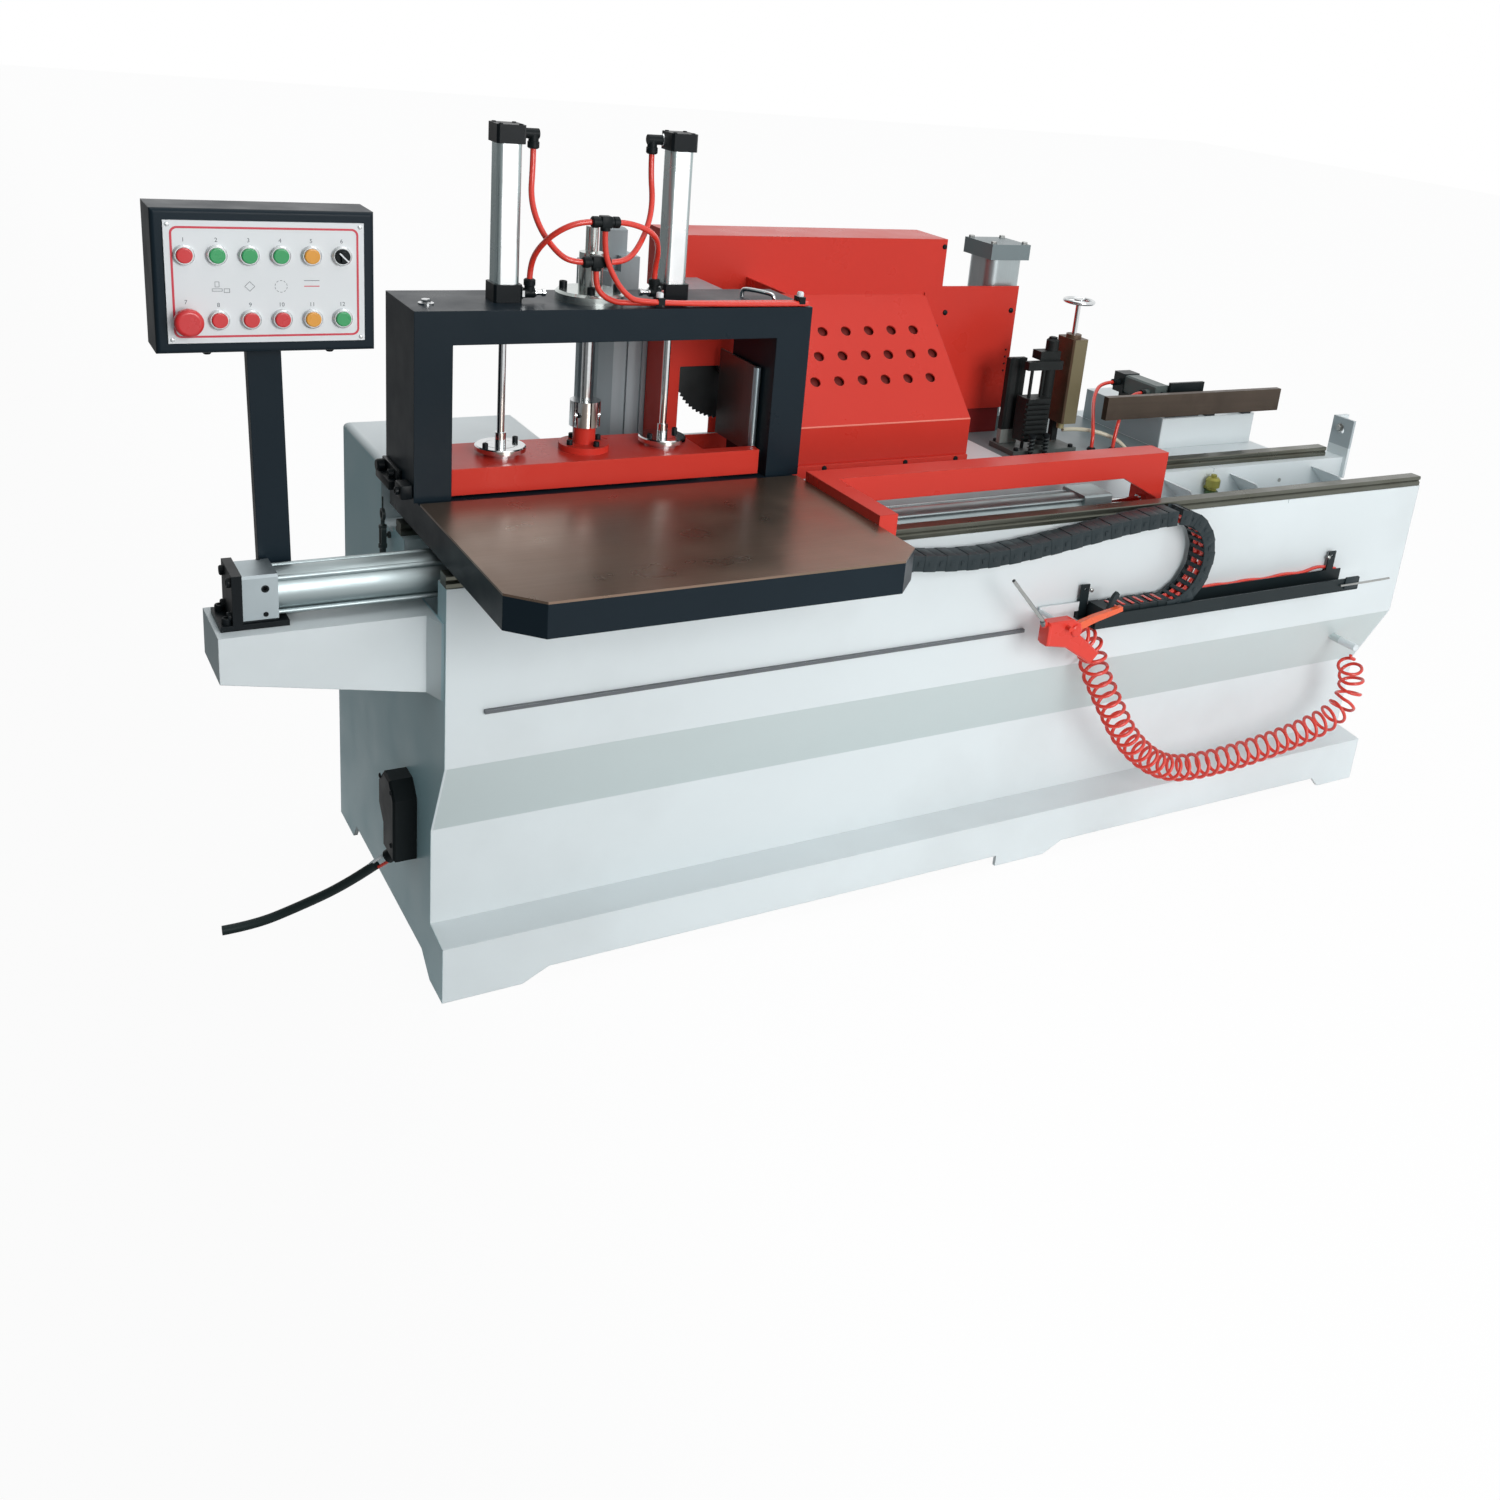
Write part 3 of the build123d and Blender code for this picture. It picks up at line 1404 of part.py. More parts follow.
def hexagon(x, length):
    turned = Plane(origin=(x, cylinder_y, cylinder_z), x_dir=(0, 1, 0), z_dir=(1, 0, 0))
    return extrude(turned * RegularPolygon(nut_radius, 6), length)


def drive_rod():
    piston_x = cylinder_rear + rear_cap_length + plate
    shoulder = leg_x - nut_height
    rod = bar((piston_x, cylinder_y, cylinder_z), (1, 0, 0), shoulder - piston_x, drive_rod_radius)
    rod += bar((piston_x, cylinder_y, cylinder_z), (1, 0, 0), drive_piston, barrel_bore)
    thread = 2 * nut_height + leg_thickness + plate
    rod += bar((shoulder, cylinder_y, cylinder_z), (1, 0, 0), thread, drive_thread)
    return rod + hexagon(shoulder, nut_height) + hexagon(leg_x + leg_thickness, nut_height)


nodes["drive_rod"] = drive_rod()


# Air fittings and tubes on the portal
cap_mid_low = portal_height + cap_height / 2
cap_mid_high = cylinder_top - cap_height / 2


def elbow(x, side, reach, y, z, turn):
    wall = x + side * cap_size / 2
    arm = bar((wall, y, z), (side, 0, 0), reach + fitting_radius, fitting_radius)
    return arm + bar((wall + side * reach, y, z), (0, 0, turn), elbow_drop, fitting_radius)


def tee(x, y, z):
    body = bar((x - tee_half, y, z), (1, 0, 0), 2 * tee_half, fitting_radius)
    return body + bar((x, y, z), (0, 0, -1), tee_drop, fitting_radius)


def tube_fittings():
    pieces = []
    for x, side in ((press_left_x, 1), (press_right_x, -1)):
        pieces.append(elbow(x, side, elbow_reach_high, press_y + elbow_back_high, cap_mid_high, -1))
        pieces.append(elbow(x, side, elbow_reach_low, press_y + elbow_back_low, cap_mid_low, 1))
    pieces.append(tee(tee_low_x, tee_low_y, tee_low_z))
    pieces.append(tee(tee_high_x, tee_high_y, tee_high_z))
    clip_y = (supply_high_y - air_tube - clearance, supply_low_y + air_tube + clearance)
    clip = air_tube + clearance
    for x in (clip_first_x, clip_last_x):
        saddle = block((x, x + clip_width), clip_y, (portal_height, portal_height + 2 * air_tube + plate))
        for y in (supply_high_y, supply_low_y):
            saddle -= bar((x - plate, y, portal_height + clip), (1, 0, 0), clip_width + 2 * plate, clip)
            groove_y = (y - clip, y + clip)
            groove_z = (portal_height - plate, portal_height + clip)
            saddle -= block((x - plate, x + clip_width + plate), groove_y, groove_z)
        pieces.append(saddle)
    return pieces


nodes["tube_fittings"] = tube_fittings()


def bowed(start, end, shares, lead):
    """Points from one port to another, with the bow given as shares of the way."""
    way = Vector(*end) - Vector(*start)
    points = [start]
    for x, y, z in shares:
        points.append((start[0] + x * way.X, start[1] + y * way.Y, start[2] + z * way.Z))
    return points + [(end[0] - lead, end[1], end[2]), end]


def air_tubes():
    pieces = []
    bends = []
    routes = []
    for x, side, high_bow in ((press_left_x, 1, high_bow_left), (press_right_x, -1, high_bow_right)):
        wall = x + side * cap_size / 2
        start = (wall + side * elbow_reach_high, press_y + elbow_back_high, cap_mid_high - elbow_drop)
        end = (tee_low_x - side * tee_half, tee_low_y, tee_low_z)
        routes.append(bowed(start, end, high_bow, side * tee_lead))
        start = (wall + side * elbow_reach_low, press_y + elbow_back_low, cap_mid_low + elbow_drop)
        end = (tee_high_x - side * tee_half, tee_high_y, tee_high_z)
        routes.append(bowed(start, end, low_bow, side * tee_lead))
    lie = portal_height + air_tube + clearance
    run_end = clip_last_x + clip_width + plate
    supplies = []
    high = (tee_high_x, tee_high_y, tee_high_z - tee_drop)
    low = (tee_low_x, tee_low_y, tee_low_z - tee_drop)
    supplies.append((high, supply_high_y, supply_bow_high))
    supplies.append((low, supply_low_y, supply_bow_low))
    for start, lie_y, supply_bow in supplies:
        bow = bowed(start, (clip_first_x, lie_y, lie), supply_bow, 0)[:-2]
        routes.append(bow + [(run_end, lie_y, lie)])
    for route in routes:
        bends.append(smooth_bends(route))
        pieces.append(tube_along(route, bends[-1], air_tube))
    print(f"air tubes: bends of {min(bends):.0f} mm or more, {min(bends) / (2 * air_tube):.1f} diameters")
    return pieces


nodes["air_tubes"] = air_tubes()


# Drag chain in three runs
bend_z = chain_floor + chain_height / 2 + bend_radius
chain_high = bend_z + bend_radius


def link(x, z, angle, index):
    tall = chain_height - (chain_step if index % 2 else 0)
    shape = Box(chain_pitch, chain_width - (chain_step if index % 2 else 0), tall)
    return Pos(x, chain_y, z) * Rot(0, -angle, 0) * shape


def run_height(x):
    if x < chain_sag_x:
        share = (chain_sag_x - x) / (chain_sag_x - chain_end_x)
        return chain_sag_z + (chain_end_z - chain_sag_z) * share * share * (3 - 2 * share)
    share = (x - chain_sag_x) / (bend_x - chain_sag_x)
    return chain_sag_z + (chain_high - chain_sag_z) * share * share * (3 - 2 * share)


def chain_upper():
    count = round((bend_x - chain_end_x) / chain_pitch)
    step = (bend_x - chain_end_x - chain_pitch / 2) / (count - 0.5)
    links = []
    for index in range(count):
        x = chain_end_x + index * step
        rise = run_height(x + 1) - run_height(x - 1)
        links.append(link(x, run_height(x), degrees(atan2(rise, 2)), index))
    chain = links[0]
    for piece in links[1:]:
        chain += piece
    return chain


nodes["chain_upper"] = chain_upper()


def chain_bend():
    count = round(pi * bend_radius / chain_pitch)
    reach = bend_radius - chain_step / 2
    chain = None
    for index in range(count):
        angle = 90 - (index + 0.5) * 180 / count
        x = bend_x + clearance + reach * cos(radians(angle))
        piece = link(x, bend_z + reach * sin(radians(angle)), angle - 90, index)
        chain = piece if chain is None else chain + piece
    keep_x = (bend_x + clearance, bend_x + 3 * bend_radius)
    return chain & block(keep_x, (chain_y - chain_width, chain_y + chain_width), (0, table_height))


nodes["chain_bend"] = chain_bend()


def chain_duct():
    half = chain_width / 2 + duct_sheet
    y = (chain_y - half - duct_sheet, chain_y + half + duct_sheet)
    low = chain_floor - duct_sheet
    duct = block((duct_left, duct_right), y, (low, low + duct_wall))
    channel_y = (y[0] + duct_sheet, y[1] - duct_sheet)
    duct -= block((duct_left - plate, duct_right + plate), channel_y, (chain_floor, low + 2 * duct_wall))
    for x in (duct_left, duct_right - tab_inset - tab_width):
        tab_x = (x, x + tab_width)
        duct += block(tab_x, (y[1] - duct_sheet, y[1]), (low, low + tab_height))
        duct += block(tab_x, (y[1] - duct_sheet, 0), (low, low + duct_wall))
        eye_z = low + tab_height - tab_width / 2
        duct -= bar((x + tab_width / 2, y[1] - 2 * duct_sheet, eye_z), (0, 1, 0), 4 * duct_sheet, tab_hole)
    count = int((bend_x - chain_start_x) / chain_pitch)
    for index in range(count):
        x = bend_x - (index + 0.5) * chain_pitch
        duct += link(x, chain_floor + chain_height / 2, 0, index)
    arm_y = (y[1] - duct_sheet, y[1])
    arm_z = (peg_z - 2 * peg_radius, peg_z + 2 * peg_radius)
    duct += block((peg_x - peg_radius, duct_left + plate), arm_y, arm_z)
    duct += bar((peg_x, y[1], peg_z), (0, -1, 0), y[1] - gun_middle + gun_thickness, peg_radius)
    return duct


gun_middle = chain_y - chain_width / 2 - 3 * duct_sheet - gun_thickness / 2
peg_x = gun_x + gun_peg[0]
peg_z = gun_z + gun_peg[1]
nodes["chain_duct"] = chain_duct()


# Air gun on its peg
gun_y = (gun_middle - gun_thickness / 2, gun_middle + gun_thickness / 2)
grip_low = Vector(gun_x + gun_outline[6][0], gun_middle, gun_z + gun_outline[6][1])
grip_high = Vector(gun_x + gun_outline[5][0], gun_middle, gun_z + gun_outline[5][1])
gun_end = (grip_low + grip_high) * 0.5
pivot_x = gun_x + gun_pivot[0]
pivot_z = gun_z + gun_pivot[1]


def air_gun():
    body = across_y([(gun_x + x, gun_z + z) for x, z in gun_outline], gun_y)
    body = chamfer(body.edges().filter_by(GeomType.LINE).group_by(Axis.Y)[0], gun_thickness / 8)
    slot_y = (gun_middle - lever_thickness / 2 - clearance, gun_middle + lever_thickness / 2 + clearance)
    slot_x = (pivot_x - gun_slot, pivot_x + 4 * gun_slot)
    body -= block(slot_x, slot_y, (pivot_z - gun_slot, gun_z + plate))
    body += bar((pivot_x, gun_y[0], pivot_z), (0, 1, 0), gun_thickness, lever_pin)
    hole = peg_radius + clearance
    body -= bar((peg_x, gun_y[0] - plate, peg_z), (0, 1, 0), gun_thickness + 2 * plate, hole)
    nozzle_end = Vector(gun_x + nozzle_tip[0], gun_middle, gun_z + nozzle_tip[1])
    root = Vector(gun_x + nozzle_radius, gun_middle, gun_z - plate)
    ahead = nozzle_end - root
    return body + bar(root, ahead, ahead.length, nozzle_radius)


nodes["air_gun"] = air_gun()


def air_gun_lever():
    points = [(pivot_x + x, pivot_z + z) for x, z in lever_outline]
    lever = across_y(points, (gun_middle - lever_thickness / 2, gun_middle + lever_thickness / 2))
    return lever - bar((pivot_x, gun_y[0], pivot_z), (0, 1, 0), gun_thickness, lever_pin + running_fit)


nodes["air_gun_lever"] = air_gun_lever()


# Curly hose from the gun to the boss on the base
curl_tail = 3 * curl_tube
handle_ahead = Vector(0, 1, 0).cross(grip_high - grip_low).normalized()


def curl_centre():
    start = gun_end + handle_ahead * (curl_tail + clearance)
    end = Vector(hose_end_x, chain_y, hose_boss_z - hose_boss - clearance - curl_tail)
    return Spline(start, *curl_points, end, tangents=[handle_ahead, (0, 0, 1)])


def curl_point(path, share):
    """A point on the curls, which swell from nothing at both ends."""
    swell = min(1.0, share * curl_count, (1 - share) * curl_count)
    swell = swell * swell * (3 - 2 * swell)
    middle = path @ share
    along = path % share
    side = Vector(0, 1, 0)
    up = along.cross(side).normalized()
    turn = 2 * pi * curl_count * share
    return middle + (up * cos(turn) + side * sin(turn)) * (curl_radius * swell)


def biarc(start, ahead, end, onward):
    """Two arcs that meet smoothly between two points and directions."""
    gap = end - start
    both = ahead + onward
    spread = 2 * (1 - ahead.dot(onward))
    lean = gap.dot(both)
    if spread < 1e-9:
        return [Edge.make_line(start, end)]
    reach = ((lean * lean + spread * gap.dot(gap)) ** 0.5 - lean) / spread
    middle = (start + ahead * reach + end - onward * reach) * 0.5
    first = Edge.make_tangent_arc(start, ahead, middle)
    second = Edge.make_tangent_arc(middle, first % 1, end)
    return [first, second]


def curly_hose():
    path = curl_centre()
    steps = 4 * curl_count
    tiny = 0.02 / steps
    spots = [curl_point(path, step / steps) for step in range(steps + 1)]
    leads = []
    for step in range(steps + 1):
        low = max(0.0, step / steps - tiny)
        high = min(1.0, step / steps + tiny)
        leads.append((curl_point(path, high) - curl_point(path, low)).normalized())
    first = spots[0] - leads[0] * curl_tail
    last = spots[-1] + leads[-1] * curl_tail
    edges = [Edge.make_line(first, spots[0])]
    for step in range(steps):
        edges += biarc(spots[step], leads[step], spots[step + 1], leads[step + 1])
    edges.append(Edge.make_line(spots[-1], last))
    route = Wire(edges)
    near = 16
    fine = [curl_point(path, step / (near * curl_count)) for step in range(near * curl_count + 1)]
    gaps = []
    for index, spot in enumerate(fine):
        for other in fine[index + near // 2:index + 2 * near]:
            gaps.append((other - spot).length - 2 * curl_tube)
    print(f"curly hose: {curl_count} curls, least gap to itself {min(gaps):.1f} mm")
    return sweep(Plane(origin=first, z_dir=leads[0]) * Circle(curl_tube), path=route)


nodes["curly_hose"] = curly_hose()


# One frame for all nodes: the middle of the part's footprint on the floor
def limits(shape):
    return Compound(children=shape).bounding_box() if isinstance(shape, list) else shape.bounding_box()


cords = ("mains_cable", "curly_hose")
boxes = [limits(shape) for name, shape in nodes.items() if name not in cords]
middle_x = (min(box.min.X for box in boxes) + max(box.max.X for box in boxes)) / 2
middle_y = (min(box.min.Y for box in boxes) + max(box.max.Y for box in boxes)) / 2
floor_z = min(box.min.Z for box in boxes)
home = Pos(-middle_x, -middle_y, -floor_z)
print(f"origin at x {middle_x:.3f}, y {middle_y:.3f}, z {floor_z:.3f} of the drawing")

os.makedirs("parts", exist_ok=True)
for name, shape in nodes.items():
    solids = shape if isinstance(shape, list) else [shape]
    placed = [solid for piece in solids for solid in (home * piece).solids()]
    export_step(Compound(children=placed), f"parts/{name}.step")
print(f"{len(nodes)} nodes")
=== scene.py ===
import json
import math

import bmesh
import bpy
from mathutils import Matrix, Vector


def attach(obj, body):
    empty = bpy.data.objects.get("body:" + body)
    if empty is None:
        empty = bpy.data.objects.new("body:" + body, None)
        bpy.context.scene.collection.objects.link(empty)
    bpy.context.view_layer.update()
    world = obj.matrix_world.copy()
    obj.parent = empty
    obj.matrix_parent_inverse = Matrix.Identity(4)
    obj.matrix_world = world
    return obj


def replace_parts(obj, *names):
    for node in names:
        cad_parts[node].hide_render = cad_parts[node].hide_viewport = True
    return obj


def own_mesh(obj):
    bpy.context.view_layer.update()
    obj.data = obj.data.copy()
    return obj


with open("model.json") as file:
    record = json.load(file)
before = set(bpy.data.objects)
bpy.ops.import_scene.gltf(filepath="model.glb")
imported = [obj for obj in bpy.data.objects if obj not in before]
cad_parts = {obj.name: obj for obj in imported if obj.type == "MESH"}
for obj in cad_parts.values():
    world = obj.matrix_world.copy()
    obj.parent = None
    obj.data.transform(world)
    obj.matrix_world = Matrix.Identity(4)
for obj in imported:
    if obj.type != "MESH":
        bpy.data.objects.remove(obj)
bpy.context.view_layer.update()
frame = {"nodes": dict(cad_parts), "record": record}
nodes = frame["nodes"]
scene = bpy.context.scene

# Lengths are in mm of the drawing. Its zero is the base's front left corner on the floor,
# and the row frame's is the footprint's middle.
ORIGIN = Vector((998.5, 273.0, 0.0))
TO_ROW = Matrix.Diagonal((0.001, 0.001, 0.001, 1)) @ Matrix.Translation(-ORIGIN)
LEFT, RIGHT, FRONT, REAR, DOWN, UP = (-1, 0, 0), (1, 0, 0), (0, -1, 0), (0, 1, 0), (0, 0, -1), (0, 0, 1)

# Places that several pieces share; a seat lies 0.2 mm inside the face that a piece stands on
PRESS_X, PRESS_Y, GUIDE_X = (174, 481), 263, 328
HOOD_X = (842, 1303)
DECK_SEAT = 771.8


def at(x, y, z):
    return (Vector((x, y, z)) - ORIGIN) / 1000


def linear(rgb):
    """An 8-bit sRGB colour as linear numbers."""
    return [(((c / 255) + 0.055) / 1.055) ** 2.4 for c in rgb]


def tone(colour, factor):
    return [min(1.0, v * factor) for v in colour]


def eased(share):
    """A share from 0 to 1 with a slow start and end."""
    return share * share * (3 - 2 * share)


class Graph:
    """Shorthand for the nodes of a material or of the world."""

    def __init__(self, tree):
        self.nodes = tree.nodes
        self.link = tree.links.new

    def new(self, kind, **settings):
        node = self.nodes.new("ShaderNode" + kind)
        for key, value in settings.items():
            setattr(node, key, value)
        return node

    def feed(self, socket, value):
        """Links an output to a socket, or sets the socket to a number or a colour."""
        if isinstance(value, bpy.types.NodeSocket):
            self.link(value, socket)
        elif isinstance(value, (list, tuple)):
            socket.default_value = (*value, 1)
        else:
            socket.default_value = value

    def noise(self, place, scale, detail, stretch=None):
        texture = self.new("TexNoise")
        texture.inputs["Scale"].default_value = scale
        texture.inputs["Detail"].default_value = detail
        if stretch:
            mapping = self.new("Mapping")
            mapping.inputs["Scale"].default_value = stretch
            self.link(place, mapping.inputs["Vector"])
            place = mapping.outputs[0]
        self.link(place, texture.inputs["Vector"])
        return texture.outputs["Fac"]

    def ranged(self, value, span, low, high, smooth=False):
        """Maps a value from a span to low and high."""
        node = self.new("MapRange", interpolation_type="SMOOTHSTEP" if smooth else "LINEAR")
        keys = ("Value", "From Min", "From Max", "To Min", "To Max")
        for key, v in zip(keys, (value, *span, low, high)):
            self.feed(node.inputs[key], v)
        return node.outputs[0]

    def blend(self, factor, a, b):
        node = self.new("Mix", data_type="RGBA")
        for socket, v in zip((node.inputs["Factor"], node.inputs[6], node.inputs[7]), (factor, a, b)):
            self.feed(socket, v)
        return node.outputs[2]

    def reckon(self, kind, *values):
        node = self.new("Math", operation=kind)
        for socket, v in zip(node.inputs, values):
            self.feed(socket, v)
        return node.outputs[0]

    def split(self, place):
        node = self.new("SeparateXYZ")
        self.link(place, node.inputs[0])
        return node.outputs

    def either(self, factor, a, b):
        """Mixes two shaders."""
        node = self.new("MixShader")
        for socket, v in zip(node.inputs, (factor, a, b)):
            self.link(v, socket)
        return node.outputs[0]


# Materials: the spans are those of a noise that are used, and of the cosine across a worn edge
NOISE_SPAN, STAIN_SPAN, ROUGH_SPAN, RUB_SPAN = (0.3, 0.7), (0.48, 0.74), (0.25, 0.75), (0.4, 0.66)
EDGE_SPAN = (0.97, 0.8)
RUB_LEAST, RUB_MOST, RUB_SCALE = 0.1, 0.75, 34.0
STREAK_SHARE, STREAK_TONE = 0.3, 0.7
ROUGH_LEAST, ROUGH_MOST = 0.8, 1.25
BUMP_DEPTH = 0.001
WHITE = (225, 232, 234)
look = {}


def surface(name, rgb, rough, metal=0.0, vary=0.06, patch=3.0, grain=260.0, bump=0.03, streak=None,
            stain=None, edge=None, coat=0.0, spec=0.5, zones=()):
    """A principled material with patches, fine grain or streaks, stains and worn edges. streak is the
    noise's scale on each axis, stain is (rgb, scale, share) and edge is (width in metres, rgb). A zone is
    (rgb, x span, y span, z span): another colour inside that box, in mm of the drawing."""
    m = bpy.data.materials.new(name)
    m.use_nodes = True
    g = Graph(m.node_tree)
    plain = linear(rgb)
    place = g.new("TexCoord").outputs["Object"]
    patches = g.ranged(g.noise(place, patch, 4.0), NOISE_SPAN, 0, 1)
    colour = g.blend(patches, tone(plain, 1 - vary), tone(plain, 1 + vary))
    if stain:
        stain_rgb, scale, share = stain
        stains = g.ranged(g.noise(place, scale, 6.0), STAIN_SPAN, 0, share)
        colour = g.blend(stains, colour, linear(stain_rgb))
    if streak:
        fine = g.noise(place, 1.0, 2.0, streak)
        streaks = g.ranged(fine, NOISE_SPAN, 0, STREAK_SHARE)
        colour = g.blend(streaks, colour, tone(plain, STREAK_TONE))
    else:
        fine = g.noise(place, grain, 2.0)
    if zones:
        parts = g.split(place)
    for paint, *spans in zones:
        inside = 1.0
        for axis, span in enumerate(spans):
            if span:
                low, high = ((v - ORIGIN[axis]) / 1000 for v in span)
                test = g.reckon("COMPARE", parts[axis], (low + high) / 2, (high - low) / 2)
                inside = g.reckon("MULTIPLY", inside, test)
        colour = g.blend(inside, colour, linear(paint))
    relief = g.new("Bump")
    relief.inputs["Strength"].default_value = bump
    relief.inputs["Distance"].default_value = BUMP_DEPTH
    g.link(fine, relief.inputs["Height"])
    if edge:
        width, edge_rgb = edge
        bevel = g.new("Bevel", samples=3)
        bevel.inputs["Radius"].default_value = width
        g.link(bevel.outputs[0], relief.inputs["Normal"])
        dot = g.new("VectorMath", operation="DOT_PRODUCT")
        g.link(bevel.outputs[0], dot.inputs[0])
        g.link(g.new("NewGeometry").outputs["True Normal"], dot.inputs[1])
        rubbed = g.ranged(g.noise(place, RUB_SCALE, 5.0), RUB_SPAN, RUB_LEAST, RUB_MOST)
        worn = g.reckon("MULTIPLY", g.ranged(dot.outputs["Value"], EDGE_SPAN, 0, 1), rubbed)
        colour = g.blend(worn, colour, linear(edge_rgb))
    p = g.nodes["Principled BSDF"]
    uneven = g.noise(place, patch * 5, 4.0)
    roughness = g.ranged(uneven, ROUGH_SPAN, rough * ROUGH_LEAST, min(1.0, rough * ROUGH_MOST))
    g.link(colour, p.inputs["Base Color"])
    g.link(roughness, p.inputs["Roughness"])
    g.link(relief.outputs[0], p.inputs["Normal"])
    p.inputs["Metallic"].default_value = metal
    p.inputs["Coat Weight"].default_value = coat
    p.inputs["Coat Roughness"].default_value = 0.1
    p.inputs["Specular IOR Level"].default_value = spec
    look[name] = m


# White zones: painted shade on the front ledge strip, painted shade on the waist that faces down, a painted
# bluish shade on the left end, darker grey on the end stop and on the deck round the glue unit, painted shade
# on the pump box's left face
surface("white_paint", WHITE, 0.36, vary=0.02, patch=2.0, bump=0.05, edge=(0.002, (196, 203, 207)),
        stain=((206, 211, 212), 2.6, 0.5),
        # The first zone is painted shade: the front ledge strip is darkened as its shadow line
        zones=[((98, 102, 106), (60, 1230), (-12, -0.4), (548, 566)),
               # Painted shade: the waist is darker because it faces down, away from the light
               ((202, 213, 213), (4, 2331), (0.5, 73.5), (307, 461)),
               # Painted shade: a bluish tint on the left end, which faces away from the light
               ((198, 226, 232), (-3, 0.5), None, None),
               ((176, 186, 190), (2330, 2342), None, (806, 880)),
               ((112, 124, 127), (1440, 1893), (424, 737), (771, 773.5)),
               # Painted shade: the pump box's left face is darker because it faces away from the light
               ((168, 180, 184), (1892, 1894), None, (773.5, 850))])
surface("rail_steel", (104, 106, 97), 0.3, 0.8, streak=(3, 320, 320), stain=((76, 72, 58), 7, 0.6))
# The drive cylinder's rear cap is paler than its barrel
surface("cylinder_alu", (168, 180, 182), 0.4, 0.92, vary=0.05, streak=(3, 90, 90), bump=0.02,
        stain=((134, 146, 146), 6, 0.6), zones=[((176, 187, 191), (-292, -236), None, None)])
# Each press tube has two upright bands of painted shade, the right band darker
surface("press_alu", (236, 239, 240), 0.26, 0.8, vary=0.03, streak=(30, 30, 3), bump=0.01,
        zones=[(shade, (middle + low, middle + high), None, None) for middle in PRESS_X
               for shade, low, high in (((196, 210, 211), -22, -14), ((172, 186, 187), 13, 22))])
surface("bush_steel", (204, 211, 208), 0.18, 0.9, vary=0.05, streak=(8, 8, 200), bump=0.02)
# The upright cylinder's caps
surface("lift_alu", (176, 186, 188), 0.34, 0.7, vary=0.05, streak=(220, 220, 3),
        zones=[((122, 134, 137), None, None, cap) for cap in ((1187, 1226), (770, 809))])
surface("black_paint", (19, 24, 27), 0.36, edge=(0.0012, (58, 62, 64)), spec=0.15)
surface("blue_black", (25, 37, 45), 0.32, vary=0.08, edge=(0.002, (62, 76, 84)), bump=0.05, spec=0.12)
surface("panel_white", (226, 229, 231), 0.34, vary=0.015)
surface("bezel_metal", (214, 218, 219), 0.22, 0.6)
surface("black_plastic", (20, 26, 28), 0.4, grain=900, bump=0.06, spec=0.14)
surface("cable_rubber", (30, 42, 42), 0.45, grain=700, bump=0.03, spec=0.2)
# Red zones: painted shade on the low plate set back at the hood's right, and a paler line along the fold on its
# front, partly worn edge and partly painted highlight
surface("red_paint", (212, 58, 46), 0.3, vary=0.03, patch=2.0, bump=0.05, spec=0.22,
        edge=(0.002, (228, 104, 88)),
        # Painted shade: the low plate set back at the hood's right is darkened
        zones=[((140, 42, 42), (1304, 1560), (653.9, 659), (771, 860)),
               # A paler line along the fold: partly worn edge and partly painted highlight
               ((238, 138, 122), HOOD_X, (418.9, 422), (879.4, 882.4))])
surface("motor_grey", (158, 168, 172), 0.36, vary=0.04, streak=(60, 60, 3), bump=0.05)
surface("saw_steel", (72, 76, 77), 0.34, 0.8, streak=(60, 4, 60))
surface("machined_steel", (168, 170, 168), 0.3, 0.9, streak=(200, 200, 8))
surface("belt_rubber", (26, 27, 28), 0.6, grain=900, bump=0.1)
# The glue tank's front and foot
surface("tank_bronze", (100, 80, 62), 0.44, 0.3, vary=0.2, patch=11, streak=(26, 26, 3),
        stain=((84, 62, 48), 18, 0.8),
        zones=[((120, 110, 82), None, (460, 468.6), None), ((168, 158, 116), None, None, (780, 837.5))])
surface("chrome", (218, 221, 222), 0.12, 1.0, vary=0.02, streak=(140, 140, 140), bump=0.01)
surface("clear_hose", (206, 200, 178), 0.24, vary=0.05)
# The dark angle behind the stop bar
surface("bare_bar", (84, 72, 62), 0.42, 0.6, vary=0.18, patch=5, streak=(4, 120, 160),
        stain=((56, 44, 36), 12, 0.7), zones=[((34, 46, 50), None, (404.5, 520), None)])
surface("table_steel", (142, 120, 104), 0.3, 0.85, vary=0.1, patch=1.8, streak=(5, 240, 240), bump=0.02,
        stain=((106, 98, 82), 3.4, 0.6))
# The fence's paler front edge
surface("fence_steel", (104, 106, 104), 0.34, 0.85, vary=0.04, patch=2, streak=(160, 160, 5),
        zones=[((172, 190, 198), None, (200, 235.5), None)])
surface("red_tube", (226, 60, 46), 0.22, vary=0.04, coat=0.3)
surface("chain_plastic", (36, 47, 51), 0.42, grain=700, bump=0.08, spec=0.25)
# The gun's arm and peg, which belong to the duct
surface("duct_plastic", (30, 40, 43), 0.42, grain=700, bump=0.08, spec=0.2,
        zones=[(WHITE, (1150, 1315.9), (-72, 4), None), ((228, 68, 54), (1150, 1315.9), (-130, -72), None)])
# The gun's metal nose
surface("gun_red", (226, 66, 54), 0.3, vary=0.04, spec=0.3, zones=[((120, 126, 128), (1000, 1164), None, None)])
surface("gun_orange", (238, 96, 50), 0.28, vary=0.04, coat=0.2)
for button, rgb in (("button_red", (208, 40, 44)), ("button_green", (42, 158, 92)),
                    ("button_amber", (228, 156, 46))):
    surface(button, rgb, 0.26, vary=0.04, coat=0.3)
# The small cylinder's tube
surface("stop_black", (24, 32, 34), 0.36, spec=0.35,
        zones=[((96, 106, 104), (1860, 1917), (449, 561), (870, 930))])
